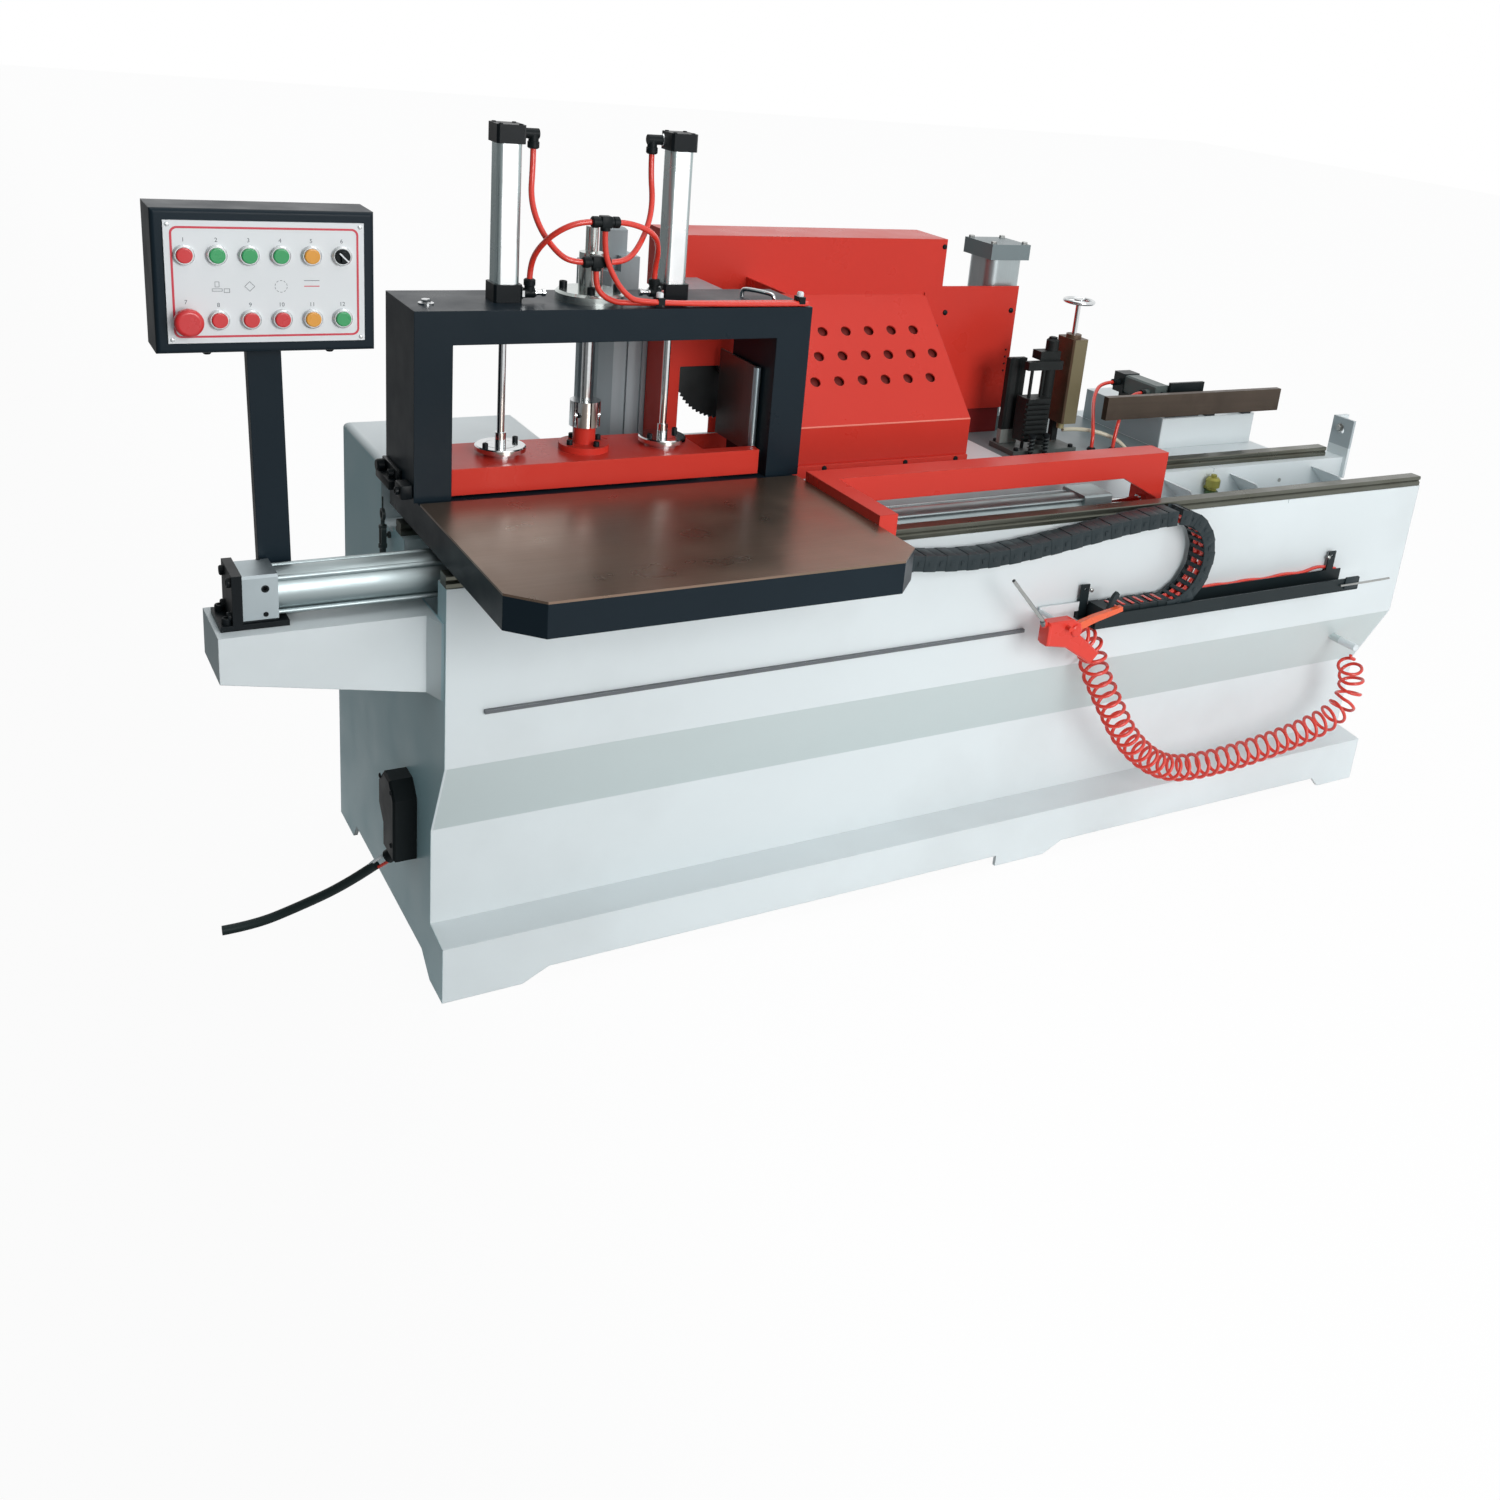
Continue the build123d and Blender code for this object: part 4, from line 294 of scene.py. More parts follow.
# The foot of the dust flap and the foot plate
surface("glue_black", (36, 39, 39), 0.42, spec=0.14, vary=0.2, patch=16,
        zones=[((136, 142, 138), (1470, 1523), (515, 540), (770, 818)), ((92, 98, 96), None, None, (770, 785))])
surface("dark_steel", (66, 74, 74), 0.4, 0.5, vary=0.15, patch=20)
# The hood liner's darker red is painted shade inside the hood
surface("hood_inside_shade", (112, 38, 34), 0.5, spec=0.2)
surface("screw_black", (20, 25, 28), 0.4, spec=0.15)
surface("panel_red", (206, 52, 70), 0.36, vary=0.02)
surface("panel_ink", (92, 96, 104), 0.4, vary=0.02)
# The oil cup's green lower part
surface("brass", (150, 146, 72), 0.36, 0.5, vary=0.2, patch=30, zones=[((58, 84, 52), None, None, (700, 737))])
own_look = {
    "press_tubes": "press_alu", "lift_cylinder": "lift_alu", "stop_cylinder": "stop_black",
    "glue_stand": "glue_black", "glue_head": "glue_black", "chain_duct": "duct_plastic",
    "guide_bush": "bush_steel",
}
for part in frame["record"]["subparts"]:
    mesh = nodes[part["node"]].data
    mesh.materials.clear()
    mesh.materials.append(look[own_look.get(part["node"], part["material_slot"])])


# Shapes of the pieces, in mm of the drawing
SHARP = math.radians(32)
CORNER_STEPS = 6


def finish_piece(o, body, slot, paint=None):
    """Puts a piece in the scene, with its slot's look or another paint, on a body."""
    scene.collection.objects.link(o)
    o.data.materials.append(look[paint or slot])
    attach(o, body)
    return o


def shape(name, bm, body, slot, paint=None):
    """A piece from finished faces, smooth except at its sharp edges."""
    bmesh.ops.recalc_face_normals(bm, faces=bm.faces)
    for face in bm.faces:
        face.smooth = True
    for e in bm.edges:
        e.smooth = e.calc_face_angle(0.0) < SHARP
    mesh = bpy.data.meshes.new(name)
    bm.to_mesh(mesh)
    bm.free()
    return finish_piece(bpy.data.objects.new(name, mesh), body, slot, paint)


def turned(bm, profile, place, axis=UP, steps=20):
    """Turns a profile of (radius, height) pairs about an axis through a place."""
    lean = Vector(axis).to_track_quat("Z", "Y").to_matrix()
    rings = []
    for radius, height in profile:
        ring = []
        for i in range(steps if radius else 1):
            a = 2 * math.pi * (i + 0.5) / steps
            spot = Vector((radius * math.cos(a), radius * math.sin(a), height))
            ring.append(bm.verts.new(at(*(Vector(place) + lean @ spot))))
        rings.append(ring)
    for low, high in zip(rings, rings[1:]):
        for i in range(steps if len(low) + len(high) > 2 else 0):
            j = (i + 1) % steps
            corners = [low[i % len(low)], low[j % len(low)], high[j % len(high)], high[i % len(high)]]
            bm.faces.new(list(dict.fromkeys(corners)))
    for ring in (rings[0], rings[-1]):
        if len(ring) > 1:
            bm.faces.new(ring)


def brick(bm, x, y, z, ease=1.0, turn=Matrix()):
    """A block with eased edges; turn takes its own mm to the drawing's."""
    size = Matrix.Diagonal((x[1] - x[0], y[1] - y[0], z[1] - z[0], 1))
    middle = Matrix.Translation(((x[0] + x[1]) / 2, (y[0] + y[1]) / 2, (z[0] + z[1]) / 2))
    made = bmesh.ops.create_cube(bm, size=1, matrix=TO_ROW @ turn @ middle @ size)
    if ease:
        edges = list(dict.fromkeys(e for v in made["verts"] for e in v.link_edges))
        bmesh.ops.bevel(bm, geom=edges, offset=ease / 1000, segments=2, profile=0.5, affect="EDGES")


def ring_at(bm, outline, level, axis):
    """The corners of an outline in two of the drawing's axes, at a level on the third."""
    ring = []
    for a, b in outline:
        spot = [a, b]
        spot.insert(axis, level)
        ring.append(bm.verts.new(at(*spot)))
    return ring


def skin(bm, low, high):
    """Faces between two rings with the same number of corners."""
    for i in range(len(low)):
        j = (i + 1) % len(low)
        bm.faces.new((low[i], low[j], high[j], high[i]))


def slab(bm, outline, span, axis):
    """An outline pushed along an axis."""
    low, high = [ring_at(bm, outline, level, axis) for level in span]
    skin(bm, low, high)
    bm.faces.new(low)
    bm.faces.new(high)


def hoop(bm, outer, inner, span, axis):
    """A flat loop between two outlines with the same number of points."""
    levels = ((outer, span[0]), (outer, span[1]), (inner, span[1]), (inner, span[0]))
    rings = [ring_at(bm, outline, level, axis) for outline, level in levels]
    for low, high in zip(rings, rings[1:] + rings[:1]):
        skin(bm, low, high)


def inset(box, width):
    a0, b0, a1, b1 = box
    return a0 + width, b0 + width, a1 - width, b1 - width


def square(a0, b0, a1, b1):
    """A rectangle's outline."""
    return [(a0, b0), (a1, b0), (a1, b1), (a0, b1)]


def rounded(a0, b0, a1, b1, radius):
    """A rectangle's outline with round corners."""
    low_a, high_a, low_b, high_b = a0 + radius, a1 - radius, b0 + radius, b1 - radius
    points = []
    for quarter, (a, b) in enumerate(((high_a, high_b), (low_a, high_b), (low_a, low_b), (high_a, low_b))):
        for i in range(CORNER_STEPS + 1):
            angle = math.pi / 2 * (quarter + i / CORNER_STEPS)
            points.append((a + radius * math.cos(angle), b + radius * math.sin(angle)))
    return points


def socket_screw(bm, place, axis, r, h):
    head = [(0, 0), (r, 0), (r, h * 0.86), (r * 0.88, h)]
    key_hole = [(r * 0.56, h), (r * 0.5, h * 0.5), (0, h * 0.5)]
    turned(bm, head + key_hole, place, axis, 18)


def hexagon(bm, place, axis, r, h):
    turned(bm, [(0, 0), (r, 0), (r, h * 0.82), (r * 0.85, h), (0, h)], place, axis, 6)


def round_head(bm, place, axis, r, h):
    dome = [(0, 0), (r, 0), (r * 0.94, h * 0.5), (r * 0.66, h * 0.9), (r * 0.3, h), (0, h)]
    turned(bm, dome, place, axis, 16)


def route(name, points, radius=0.0):
    """A smooth curve with the points as its control points."""
    c = bpy.data.curves.new(name, "CURVE")
    c.dimensions = "3D"
    c.resolution_u = 8
    c.bevel_depth = 1.0 if radius else 0.0
    c.bevel_resolution = 4
    c.use_fill_caps = True
    s = c.splines.new("NURBS")
    s.points.add(len(points) - 1)
    for spot, p in zip(s.points, points):
        spot.co = (*at(*p), 1)
        spot.radius = radius / 1000
    s.order_u = 3
    s.use_endpoint_u = True
    return bpy.data.objects.new(name, c)


def line_mesh(o):
    """A curve object's own line as a mesh."""
    bpy.context.view_layer.update()
    return bpy.data.meshes.new_from_object(o.evaluated_get(bpy.context.evaluated_depsgraph_get()))


def read_route(points):
    """Points along the smooth curve, in mm of the drawing, with their distances from its start."""
    o = route("reading", points)
    scene.collection.objects.link(o)
    spots = [v.co * 1000 + ORIGIN for v in line_mesh(o).vertices]
    bpy.data.objects.remove(o)
    run = [0.0]
    for a, b in zip(spots, spots[1:]):
        run.append(run[-1] + (b - a).length)
    return spots, run


def line_length(o):
    """Length in metres of a curve object's own line."""
    c = o.data
    depth, c.bevel_depth = c.bevel_depth, 0.0
    vertices = line_mesh(o).vertices
    c.bevel_depth = depth
    return sum((b.co - a.co).length for a, b in zip(vertices, vertices[1:]))


def hose(name, points, radius, body, slot, node=None):
    """A hose or tube that starts and ends in the object."""
    o = finish_piece(route(name, points, radius), body, slot)
    if node:
        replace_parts(o, node)
    line_length(o)


# Camera at the photograph's place: turned, tilted and rolled about its own line of sight
SENSOR = 36
FRAME_PX, FOCAL_PX, SHIFT_PX = 1500, 1507.1, (-100, -190)
turn, tilt, roll = (math.radians(a) for a in (-33.22, 19.91, 6.15))
back = Vector((math.sin(turn) * math.cos(tilt), -math.cos(turn) * math.cos(tilt), math.sin(tilt)))
right = Vector(UP).cross(back).normalized()
up = back.cross(right)
right, up = right * math.cos(roll) + up * math.sin(roll), up * math.cos(roll) - right * math.sin(roll)
lens = bpy.data.cameras.new("camera")
lens.sensor_width = SENSOR
lens.lens = SENSOR * FOCAL_PX / FRAME_PX
lens.shift_x, lens.shift_y = (shift / FRAME_PX for shift in SHIFT_PX)
lens.clip_end = 100
camera = bpy.data.objects.new("camera", lens)
spot = at(-677.1, -2179.58, 1698.95)
camera.matrix_world = Matrix([[right[i], up[i], back[i], spot[i]] for i in range(3)] + [[0, 0, 0, 1]])
scene.collection.objects.link(camera)
scene.camera = camera

# Mains cable, with its bare leads at the junction box
CABLE = [(-36, 210, 186), (-100, 262, 110), (-174, 322, 44), (-243, 346, 10), (-300, 350, 9)]
CABLE_RADIUS, LEAD_RADIUS = 9, 3.2
LEAD_SHARE = 0.28
lead_start = Vector(CABLE[0])
lead_end = lead_start.lerp(Vector(CABLE[1]), LEAD_SHARE)
sheath = [tuple(lead_end)] + CABLE[1:]
cable = finish_piece(route("mains_lead", sheath, CABLE_RADIUS), "base", "cable_rubber")
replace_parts(cable, "mains_cable")
line_length(cable)
for name, off, slot in (("bare_lead_red", Vector((4, -3, -3)), "red_tube"),
                        ("bare_lead_white", Vector((-4, 2, 4)), "panel_white")):
    points = [lead_start + off + Vector((7, -6, 8)), lead_start.lerp(lead_end, 0.5) + off * 1.6,
              lead_end + off + Vector((-6, 5, -7))]
    finish_piece(route(name, points, LEAD_RADIUS), "base", slot)

# Curly hose: a helix about points read from its route
HANG = [(1262, -77, 556), (1290, -60, 555), (1318, -42, 538), (1345, -41, 507), (1357, -41, 467),
        (1384, -41, 426), (1414, -41, 381), (1494, -41, 267), (1612, -42, 181), (1736, -38, 163),
        (1926, -38, 173), (2118, -38, 202), (2200, -38, 244), (2206, -38, 312), (2178, -38, 352),
        (2178, -38, 381)]
CURLS, CURL_RADIUS, CURL_TUBE, CURL_STEPS = 40, 28.0, 4.0, 14
spots, run = read_route(HANG)
turns = []
for i in range(CURLS * CURL_STEPS + 1):
    share = i / (CURLS * CURL_STEPS)
    far = share * run[-1]
    k = max(j for j in range(len(run) - 1) if run[j] <= far)
    a, b = spots[k], spots[k + 1]
    middle = a.lerp(b, (far - run[k]) / (run[k + 1] - run[k]))
    swell = eased(min(1.0, share * CURLS, (1 - share) * CURLS))
    side = Vector(REAR)
    over = (b - a).cross(side).normalized()
    angle = 2 * math.pi * CURLS * share
    turns.append(middle + (over * math.cos(angle) + side * math.sin(angle)) * CURL_RADIUS * swell)
curls = finish_piece(route("curly_air_hose", turns, CURL_TUBE), "base", "red_tube")
curls.data.resolution_u = 2
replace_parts(curls, "curly_hose")
line_length(curls)

# Air tubes on the portal, from the elbows to the tees and on to the clips
AIR_TUBE = 5.0
TEES = ((311, 199, 1262), (318, 184, 1331))
TUBES = {
    "tube_high_left": [(221.5, 271, 1439), (221.5, 271, 1403.6), (213.9, 256.6, 1355.8),
                       (222.2, 235, 1311.6), (243, 209.1, 1277), (266, 199, 1262), (291, 199, 1262)],
    "tube_high_right": [(433.5, 271, 1439), (433.5, 271, 1403.6), (431.5, 251.6, 1355.8),
                        (413, 226.4, 1315.1), (382.3, 204, 1276.2), (356, 199, 1262), (331, 199, 1262)],
    "tube_low_left": [(213.5, 249, 1221), (213.5, 249, 1244.1), (216.9, 228.2, 1277.1),
                      (236.3, 194.4, 1312.3), (273, 184, 1331), (298, 184, 1331)],
    "tube_low_right": [(441.5, 249, 1221), (441.5, 249, 1244.1), (437.4, 228.2, 1277.1),
                       (413.6, 194.4, 1312.3), (363, 184, 1331), (338, 184, 1331)],
    "supply_high": [(318, 184, 1317), (318, 184, 1285.6), (330.4, 184.5, 1251.6),
                    (355.1, 185.1, 1213.9), (392.2, 185.5, 1191.3), (720, 185.5, 1191.3)],
    "supply_low": [(311, 199, 1248), (311, 199, 1229.3), (318.7, 197.6, 1210.6),
                   (337.4, 197, 1198.1), (366, 197, 1191.3), (720, 197, 1191.3)],
}
for name, points in TUBES.items():
    hose(name, points, AIR_TUBE, "carriage", "red_tube", "air_tubes")

# Hoses of the glue unit and the stop cylinder, each into a grommet in the deck
GLUE_TUBE, STOP_TUBE = 5.0, 4.5
GLUE_LINE = [(1641, 500, 815), (1690, 500, 815), (1750, 484, 806), (1790, 452, 790), (1800, 436, 770)]
GLUE_GROMMET = (1799, 438)
STOP_REAR = [(1857, 581, 903), (1811.7, 581, 903), (1763.4, 545, 882), (1730.2, 501.8, 850.6),
             (1712, 470.6, 813.9), (1706, 461, 796), (1706, 461, 772)]
STOP_FRONT = [(1857, 475, 903), (1828.2, 475, 903), (1797.5, 466.6, 882), (1776.4, 456.5, 850.6),
              (1764.8, 449.2, 813.9), (1761, 447, 796), (1761, 447, 772)]
hose("glue_line", GLUE_LINE, GLUE_TUBE, "base", "clear_hose", "glue_hose")
hose("stop_hose_rear", STOP_REAR, STOP_TUBE, "base", "red_tube", "glue_hose")
hose("stop_hose_front", STOP_FRONT, STOP_TUBE, "base", "red_tube", "glue_hose")

# Drag chain: links with side plates and crossbars along the upper run and round the bend
LINK, LINK_HIGH, LINK_HALF, LOW_RUN_HIGH = 25.0, 16.0, 24.0, 18.5
LINK_PLATE, LINK_BAR, LINK_INSET, LINK_REACH = 3.0, 2.6, 0.8, 0.58
LINK_BOSS, BOSS_HIGH = 4.5, 0.6
BEND_X, BEND_Z, BEND_R = 1512.0, 691.5, 100.0
CHAIN_Y, CHAIN_LEFT, CHAIN_SAG_X, CHAIN_SAG_Z, CHAIN_END_Z = -38.0, 690.0, 1010.0, 748.0, 770.0
RUN_BAR, BEND_BAR = 24.4, 10.0


def chain_link(bm, x, z, angle, step, bars):
    """One link: two side plates with bosses, every second link set in, and a crossbar above and below."""
    turn = Matrix.Translation((x, CHAIN_Y, z)) @ Matrix.Rotation(-angle, 4, "Y")
    set_in = LINK_INSET if step % 2 else 0.0
    tall = LINK_HIGH - set_in
    reach = LINK * LINK_REACH
    boss = (-LINK_BOSS, LINK_BOSS)
    for hand in (-1, 1):
        outer = hand * (LINK_HALF - set_in)
        y = sorted((outer, outer - hand * LINK_PLATE))
        brick(bm, (-reach, reach), y, (-tall, tall), 1.4, turn)
        brick(bm, boss, sorted((outer, outer + hand * (BOSS_HIGH + set_in))), boss, 0.5, turn)
    for top in (-1, 1):
        z_bar = sorted((top * tall, top * (tall - LINK_BAR)))
        brick(bm, (-bars / 2, bars / 2), (LINK_PLATE - LINK_HALF, LINK_HALF - LINK_PLATE), z_bar, 0.9, turn)


def upper_height(x):
    if x < CHAIN_SAG_X:
        share = (CHAIN_SAG_X - x) / (CHAIN_SAG_X - CHAIN_LEFT)
        return CHAIN_SAG_Z + (CHAIN_END_Z - CHAIN_SAG_Z) * eased(share)
    share = (x - CHAIN_SAG_X) / (BEND_X - CHAIN_SAG_X)
    return CHAIN_SAG_Z + (BEND_Z + BEND_R - CHAIN_SAG_Z) * eased(share)


bm = bmesh.new()
count = round((BEND_X - CHAIN_LEFT) / LINK)
step = (BEND_X - CHAIN_LEFT - LINK / 2) / (count - 0.5)
for i in range(count):
    x = CHAIN_LEFT + i * step
    rise = math.atan2(upper_height(x + 1) - upper_height(x - 1), 2)
    chain_link(bm, x, upper_height(x), rise, i, RUN_BAR)
chain_run = shape("chain_run_links", bm, "carriage", "chain_plastic")
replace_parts(chain_run, "chain_upper")
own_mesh(chain_run)

bm = bmesh.new()
count = round(math.pi * BEND_R / LINK)
for i in range(count):
    around = math.pi * (i + 0.5) / count
    x, z = BEND_X + BEND_R * math.sin(around), BEND_Z + BEND_R * math.cos(around)
    chain_link(bm, x, z, -around, i, BEND_BAR)
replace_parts(shape("chain_bend_links", bm, "chain_loop", "chain_plastic"), "chain_bend")

# Red tubes inside the chain: round the bend, where the smooth curve cuts inside its points, and seen
# between the bars of the low run
INNER_TUBE, INNER_BEND, INNER_STEPS, INNER_CUT = 6.5, 91.0, 12, 1.02
LOW_GAPS, GAP_HALF = 6, 4
for name, y in (("chain_tube_front", -48.0), ("chain_tube_rear", -29.0)):
    arc = []
    for i in range(INNER_STEPS + 1):
        around = math.pi * i / INNER_STEPS
        x = BEND_X + INNER_BEND * math.sin(around) * INNER_CUT
        arc.append((x, y, BEND_Z + INNER_BEND * math.cos(around) * INNER_CUT))
    finish_piece(route(name, arc, INNER_TUBE), "chain_loop", "red_tube")
bm = bmesh.new()
gap_z = BEND_Z - BEND_R + LOW_RUN_HIGH
for i in range(LOW_GAPS):
    x = BEND_X - (i + 0.5) * LINK
    brick(bm, (x - GAP_HALF, x + GAP_HALF), (CHAIN_Y - 16, CHAIN_Y + 14), (gap_z, gap_z + 1.2), 0.5)
shape("chain_tube_gaps", bm, "base", "red_tube")

# Control panel: border line, screws, plain numbers and marks; the number over the emergency stop is higher
FACE_Y = 117.0
FACE_SEAT = FACE_Y + 0.1
COLUMNS = [-342.5 + 43.4 * i for i in range(6)]
ROWS = (1284.0, 1191.0)
MARK_Z = 1239
BARS_MARK_X = (-180, -158)
BORDER, BORDER_WIDTH = (-360, 1165, -101, 1324), 3
NUMBER_SIZE, NUMBER_DEPTH, NUMBER_LIFT, HIGH_NUMBER_LIFT = 0.0085, 0.00012, 18.5, 23
HIGH_NUMBER = 6
bm = bmesh.new()
inner = rounded(*inset(BORDER, BORDER_WIDTH), 7.5)
hoop(bm, rounded(*BORDER, 10), inner, (FACE_Y - 0.35, FACE_SEAT), 1)
brick(bm, BARS_MARK_X, (FACE_Y - 0.3, FACE_SEAT), (1238.5, 1239.8), 0)
shape("panel_border", bm, "base", "panel_white", "panel_red")
bm = bmesh.new()
for x in (-362.5, -98.5):
    for z in (1162.5, 1326.5):
        round_head(bm, (x, FACE_SEAT, z), FRONT, 3.4, 1.6)
shape("panel_screws", bm, "base", "bezel_metal")
bm = bmesh.new()
ink_y = (FACE_Y - 0.25, FACE_SEAT)
for i in range(4):
    turn = Matrix.Translation((-255.7, 0, MARK_Z)) @ Matrix.Rotation(math.pi / 2 * i + math.pi / 4, 4, "Y")
    brick(bm, (-5, 5), ink_y, (4.6, 5.2), 0, turn)
for i in range(10):
    turn = Matrix.Translation((-212.3, 0, MARK_Z)) @ Matrix.Rotation(math.pi / 5 * i, 4, "Y")
    brick(bm, (-1.6, 1.6), ink_y, (8.2, 8.8), 0, turn)
brick(bm, BARS_MARK_X, ink_y, (1247, 1247.8), 0)
for x, z, w, h in ((-307, 1232, 14, 4), (-303, 1238, 6, 8), (-291, 1230, 8, 6)):
    box = (x, z, x + w, z + h)
    hoop(bm, square(*box), square(*inset(box, 0.6)), ink_y, 1)
shape("panel_marks", bm, "base", "panel_white", "panel_ink")
for i in range(2 * len(COLUMNS)):
    words = bpy.data.curves.new(f"panel_number_{i + 1}", "FONT")
    words.body = str(i + 1)
    words.size = NUMBER_SIZE
    words.extrude = NUMBER_DEPTH
    words.align_x = "CENTER"
    o = bpy.data.objects.new(words.name, words)
    lift = HIGH_NUMBER_LIFT if i == HIGH_NUMBER else NUMBER_LIFT
    o.location = at(COLUMNS[i % 6], FACE_Y - 0.1, ROWS[i // 6] + lift)
    o.rotation_euler = (math.pi / 2, 0, 0)
    finish_piece(o, "base", "panel_white", "panel_ink")
bm = bmesh.new()
turn = Matrix.Translation((COLUMNS[5], 0, ROWS[0])) @ Matrix.Rotation(math.radians(45), 4, "Y")
brick(bm, (-9, 9), (100.7, 101.4), (-1.1, 1.1), 0.2, turn)
shape("selector_mark", bm, "selector", "panel_white")
bm = bmesh.new()
for x in (-314, -140):
    round_head(bm, (x, 140, 1141), DOWN, 7, 6)
for z in (760, 800):
    hexagon(bm, (-252, 150.2, z), FRONT, 7, 5)
shape("control_box_studs", bm, "base", "black_paint", "screw_black")

# Press: flange rings and screws
FLANGE_RING = [(27, 8), (27, 9.3), (42, 9.3), (44, 7.3), (44, 0), (30, 0)]
FLANGE_Z, FLANGE_TOP, COLLAR_TOP, BUSH_TOP, CAP_TOP = 924.5, 933.7, 928.5, 1202.8, 1473.8


def screw_circle(bm, x, z, circle, first, count, r, h):
    """Socket screws on a circle about one of the press's rods, from a first angle."""
    for k in range(count):
        a = math.radians(first + 360 / count * k)
        socket_screw(bm, (x + circle * math.cos(a), PRESS_Y + circle * math.sin(a), z), UP, r, h)


bm = bmesh.new()
for x in PRESS_X:
    turned(bm, FLANGE_RING, (x, PRESS_Y, FLANGE_Z), UP, 40)
shape("press_flange_rings", bm, "press", "chrome")
bm = bmesh.new()
for x in PRESS_X:
    screw_circle(bm, x, FLANGE_TOP, circle=35, first=25, count=2, r=5, h=8)
screw_circle(bm, GUIDE_X, COLLAR_TOP, circle=33, first=20, count=4, r=5.5, h=9)
shape("press_flange_screws", bm, "press", "black_paint", "screw_black")
bm = bmesh.new()
screw_circle(bm, GUIDE_X, BUSH_TOP, circle=46, first=70, count=4, r=7, h=13)
for x in PRESS_X:
    for dx in (-17, 17):
        for dy in (-17, 17):
            socket_screw(bm, (x + dx, PRESS_Y + dy, CAP_TOP), UP, 3.6, 1.6)
shape("portal_screws", bm, "carriage", "black_paint", "screw_black")

# Fittings of the press cylinders, and the portal's small parts
PORTS = ((198.5, 1), (456.5, -1))
HIGH_PORT, LOW_PORT = (271, 1459), (249, 1201)
PORTAL_TOP, TOP_BOLT = 1186, (36, 239)
NIPPLE = [(0, 0), (7, 0), (7, 3), (4.5, 4), (4.5, 13), (6.5, 14), (6.5, 19), (5, 20), (0, 20)]
ELBOW_COLLAR = [(5.3, -4), (7.6, -4), (10, -2), (10, 7), (8.6, 8), (8.6, 9)]
TEE_COLLAR = [(5.3, 5), (7.4, 5), (9.8, 3), (9.8, -6), (8.6, -7)]
CLIP_HEAD = [(0, 0), (6.5, 0), (6.5, 6), (5, 8.5), (0, 8.5)]
HOOK = [(640, 292, PORTAL_TOP), (640, 292, 1194), (643, 288, 1199), (672, 240, 1199), (676, 234, 1194),
        (676, 234, PORTAL_TOP)]
STOP_PAD = [(0, 0), (9, 0), (11, 3), (11, 12), (9, 15), (0, 15)]
bm = bmesh.new()
for x, hand in PORTS:
    inward = (hand, 0, 0)
    hexagon(bm, (x, *HIGH_PORT), inward, 10.5, 6)
    hexagon(bm, (x, *LOW_PORT), inward, 10.5, 5)
    turned(bm, NIPPLE, (x + hand * 23.4, *LOW_PORT), inward, 14)
turned(bm, [(5, 0), (13, 0), (13, 2), (5, 2)], (*TOP_BOLT, PORTAL_TOP), UP)
hexagon(bm, (*TOP_BOLT, PORTAL_TOP + 2), UP, 8, 6)
shape("press_nipples", bm, "carriage", "chrome")
bm = bmesh.new()
for name, axis in (("tube_high_left", UP), ("tube_high_right", UP), ("tube_low_left", DOWN),
                   ("tube_low_right", DOWN)):
    turned(bm, ELBOW_COLLAR, TUBES[name][0], axis, 18)
for x, y, z in TEES:
    for hand in (-1, 1):
        turned(bm, TEE_COLLAR, (x + hand * 20, y, z), (hand, 0, 0), 18)
    brick(bm, (x - 9.5, x + 9.5), (y - 9.5, y + 9.5), (z - 9, z + 10.5), 2)
shape("tube_collars", bm, "carriage", "black_plastic")
bm = bmesh.new()
for x in (427, 706):
    turned(bm, CLIP_HEAD, (x, 191, 1203.8), UP, 14)
shape("tube_clip_heads", bm, "carriage", "panel_white")
finish_piece(route("portal_hook", HOOK, 4), "carriage", "chrome")
bm = bmesh.new()
brick(bm, (-9, 0), (250, 340), (872, 902), 2)
brick(bm, (-22, -8), (250, 334), (868, 884), 2)
brick(bm, (-20, 0), (184, 222), (871, 896), 3)
turned(bm, STOP_PAD, (-9, 322, 891), LEFT, 14)
socket_screw(bm, (-9, 270, 892), LEFT, 7, 9)
socket_screw(bm, (-20, 199, 884), LEFT, 7, 6)
shape("portal_stop_bracket", bm, "carriage", "black_paint", "screw_black")

# Turnbuckle on a stud in the base's left end: an eye, an open frame and a lower end
BUCKLE_X, BUCKLE_Y = -13.0, 322.0
STUD = [(0, 0), (6, 0), (6, 4), (3, 5), (3, 9), (0, 9)]
EYE, EYE_WIDTH = (BUCKLE_Y - 10, 790, BUCKLE_Y + 10, 812), 4.5
OPEN_FRAME, FRAME_WIDTH = (BUCKLE_Y - 8, 742, BUCKLE_Y + 8, 780), 4
WIRE = [(0, 0), (1.3, 0), (1.3, 22), (0, 22)]
UPPER_END = [(0, 0), (3.4, 0), (3.4, 8), (7, 10), (7, 15), (0, 15)]
LOWER_END = [(0, 0), (7.5, 0), (7.5, 6), (5.5, 8), (5.5, 20), (3.2, 24), (0, 25)]
bm = bmesh.new()
turned(bm, STUD, (0, BUCKLE_Y, 762), LEFT, 12)
inner = rounded(*inset(EYE, EYE_WIDTH), 5.4)
hoop(bm, rounded(*EYE, 9.9), inner, (BUCKLE_X - 2.5, BUCKLE_X + 2.5), 0)
turned(bm, WIRE, (BUCKLE_X, BUCKLE_Y, 811), UP, 8)
turned(bm, UPPER_END, (BUCKLE_X, BUCKLE_Y, 791), DOWN, 14)
inner = rounded(*inset(OPEN_FRAME, FRAME_WIDTH), 3.5)
hoop(bm, rounded(*OPEN_FRAME, 6), inner, (BUCKLE_X - 4.5, BUCKLE_X + 4.5), 0)
turned(bm, LOWER_END, (BUCKLE_X, BUCKLE_Y, 746), DOWN, 14)
shape("turnbuckle", bm, "base", "machined_steel", "dark_steel")

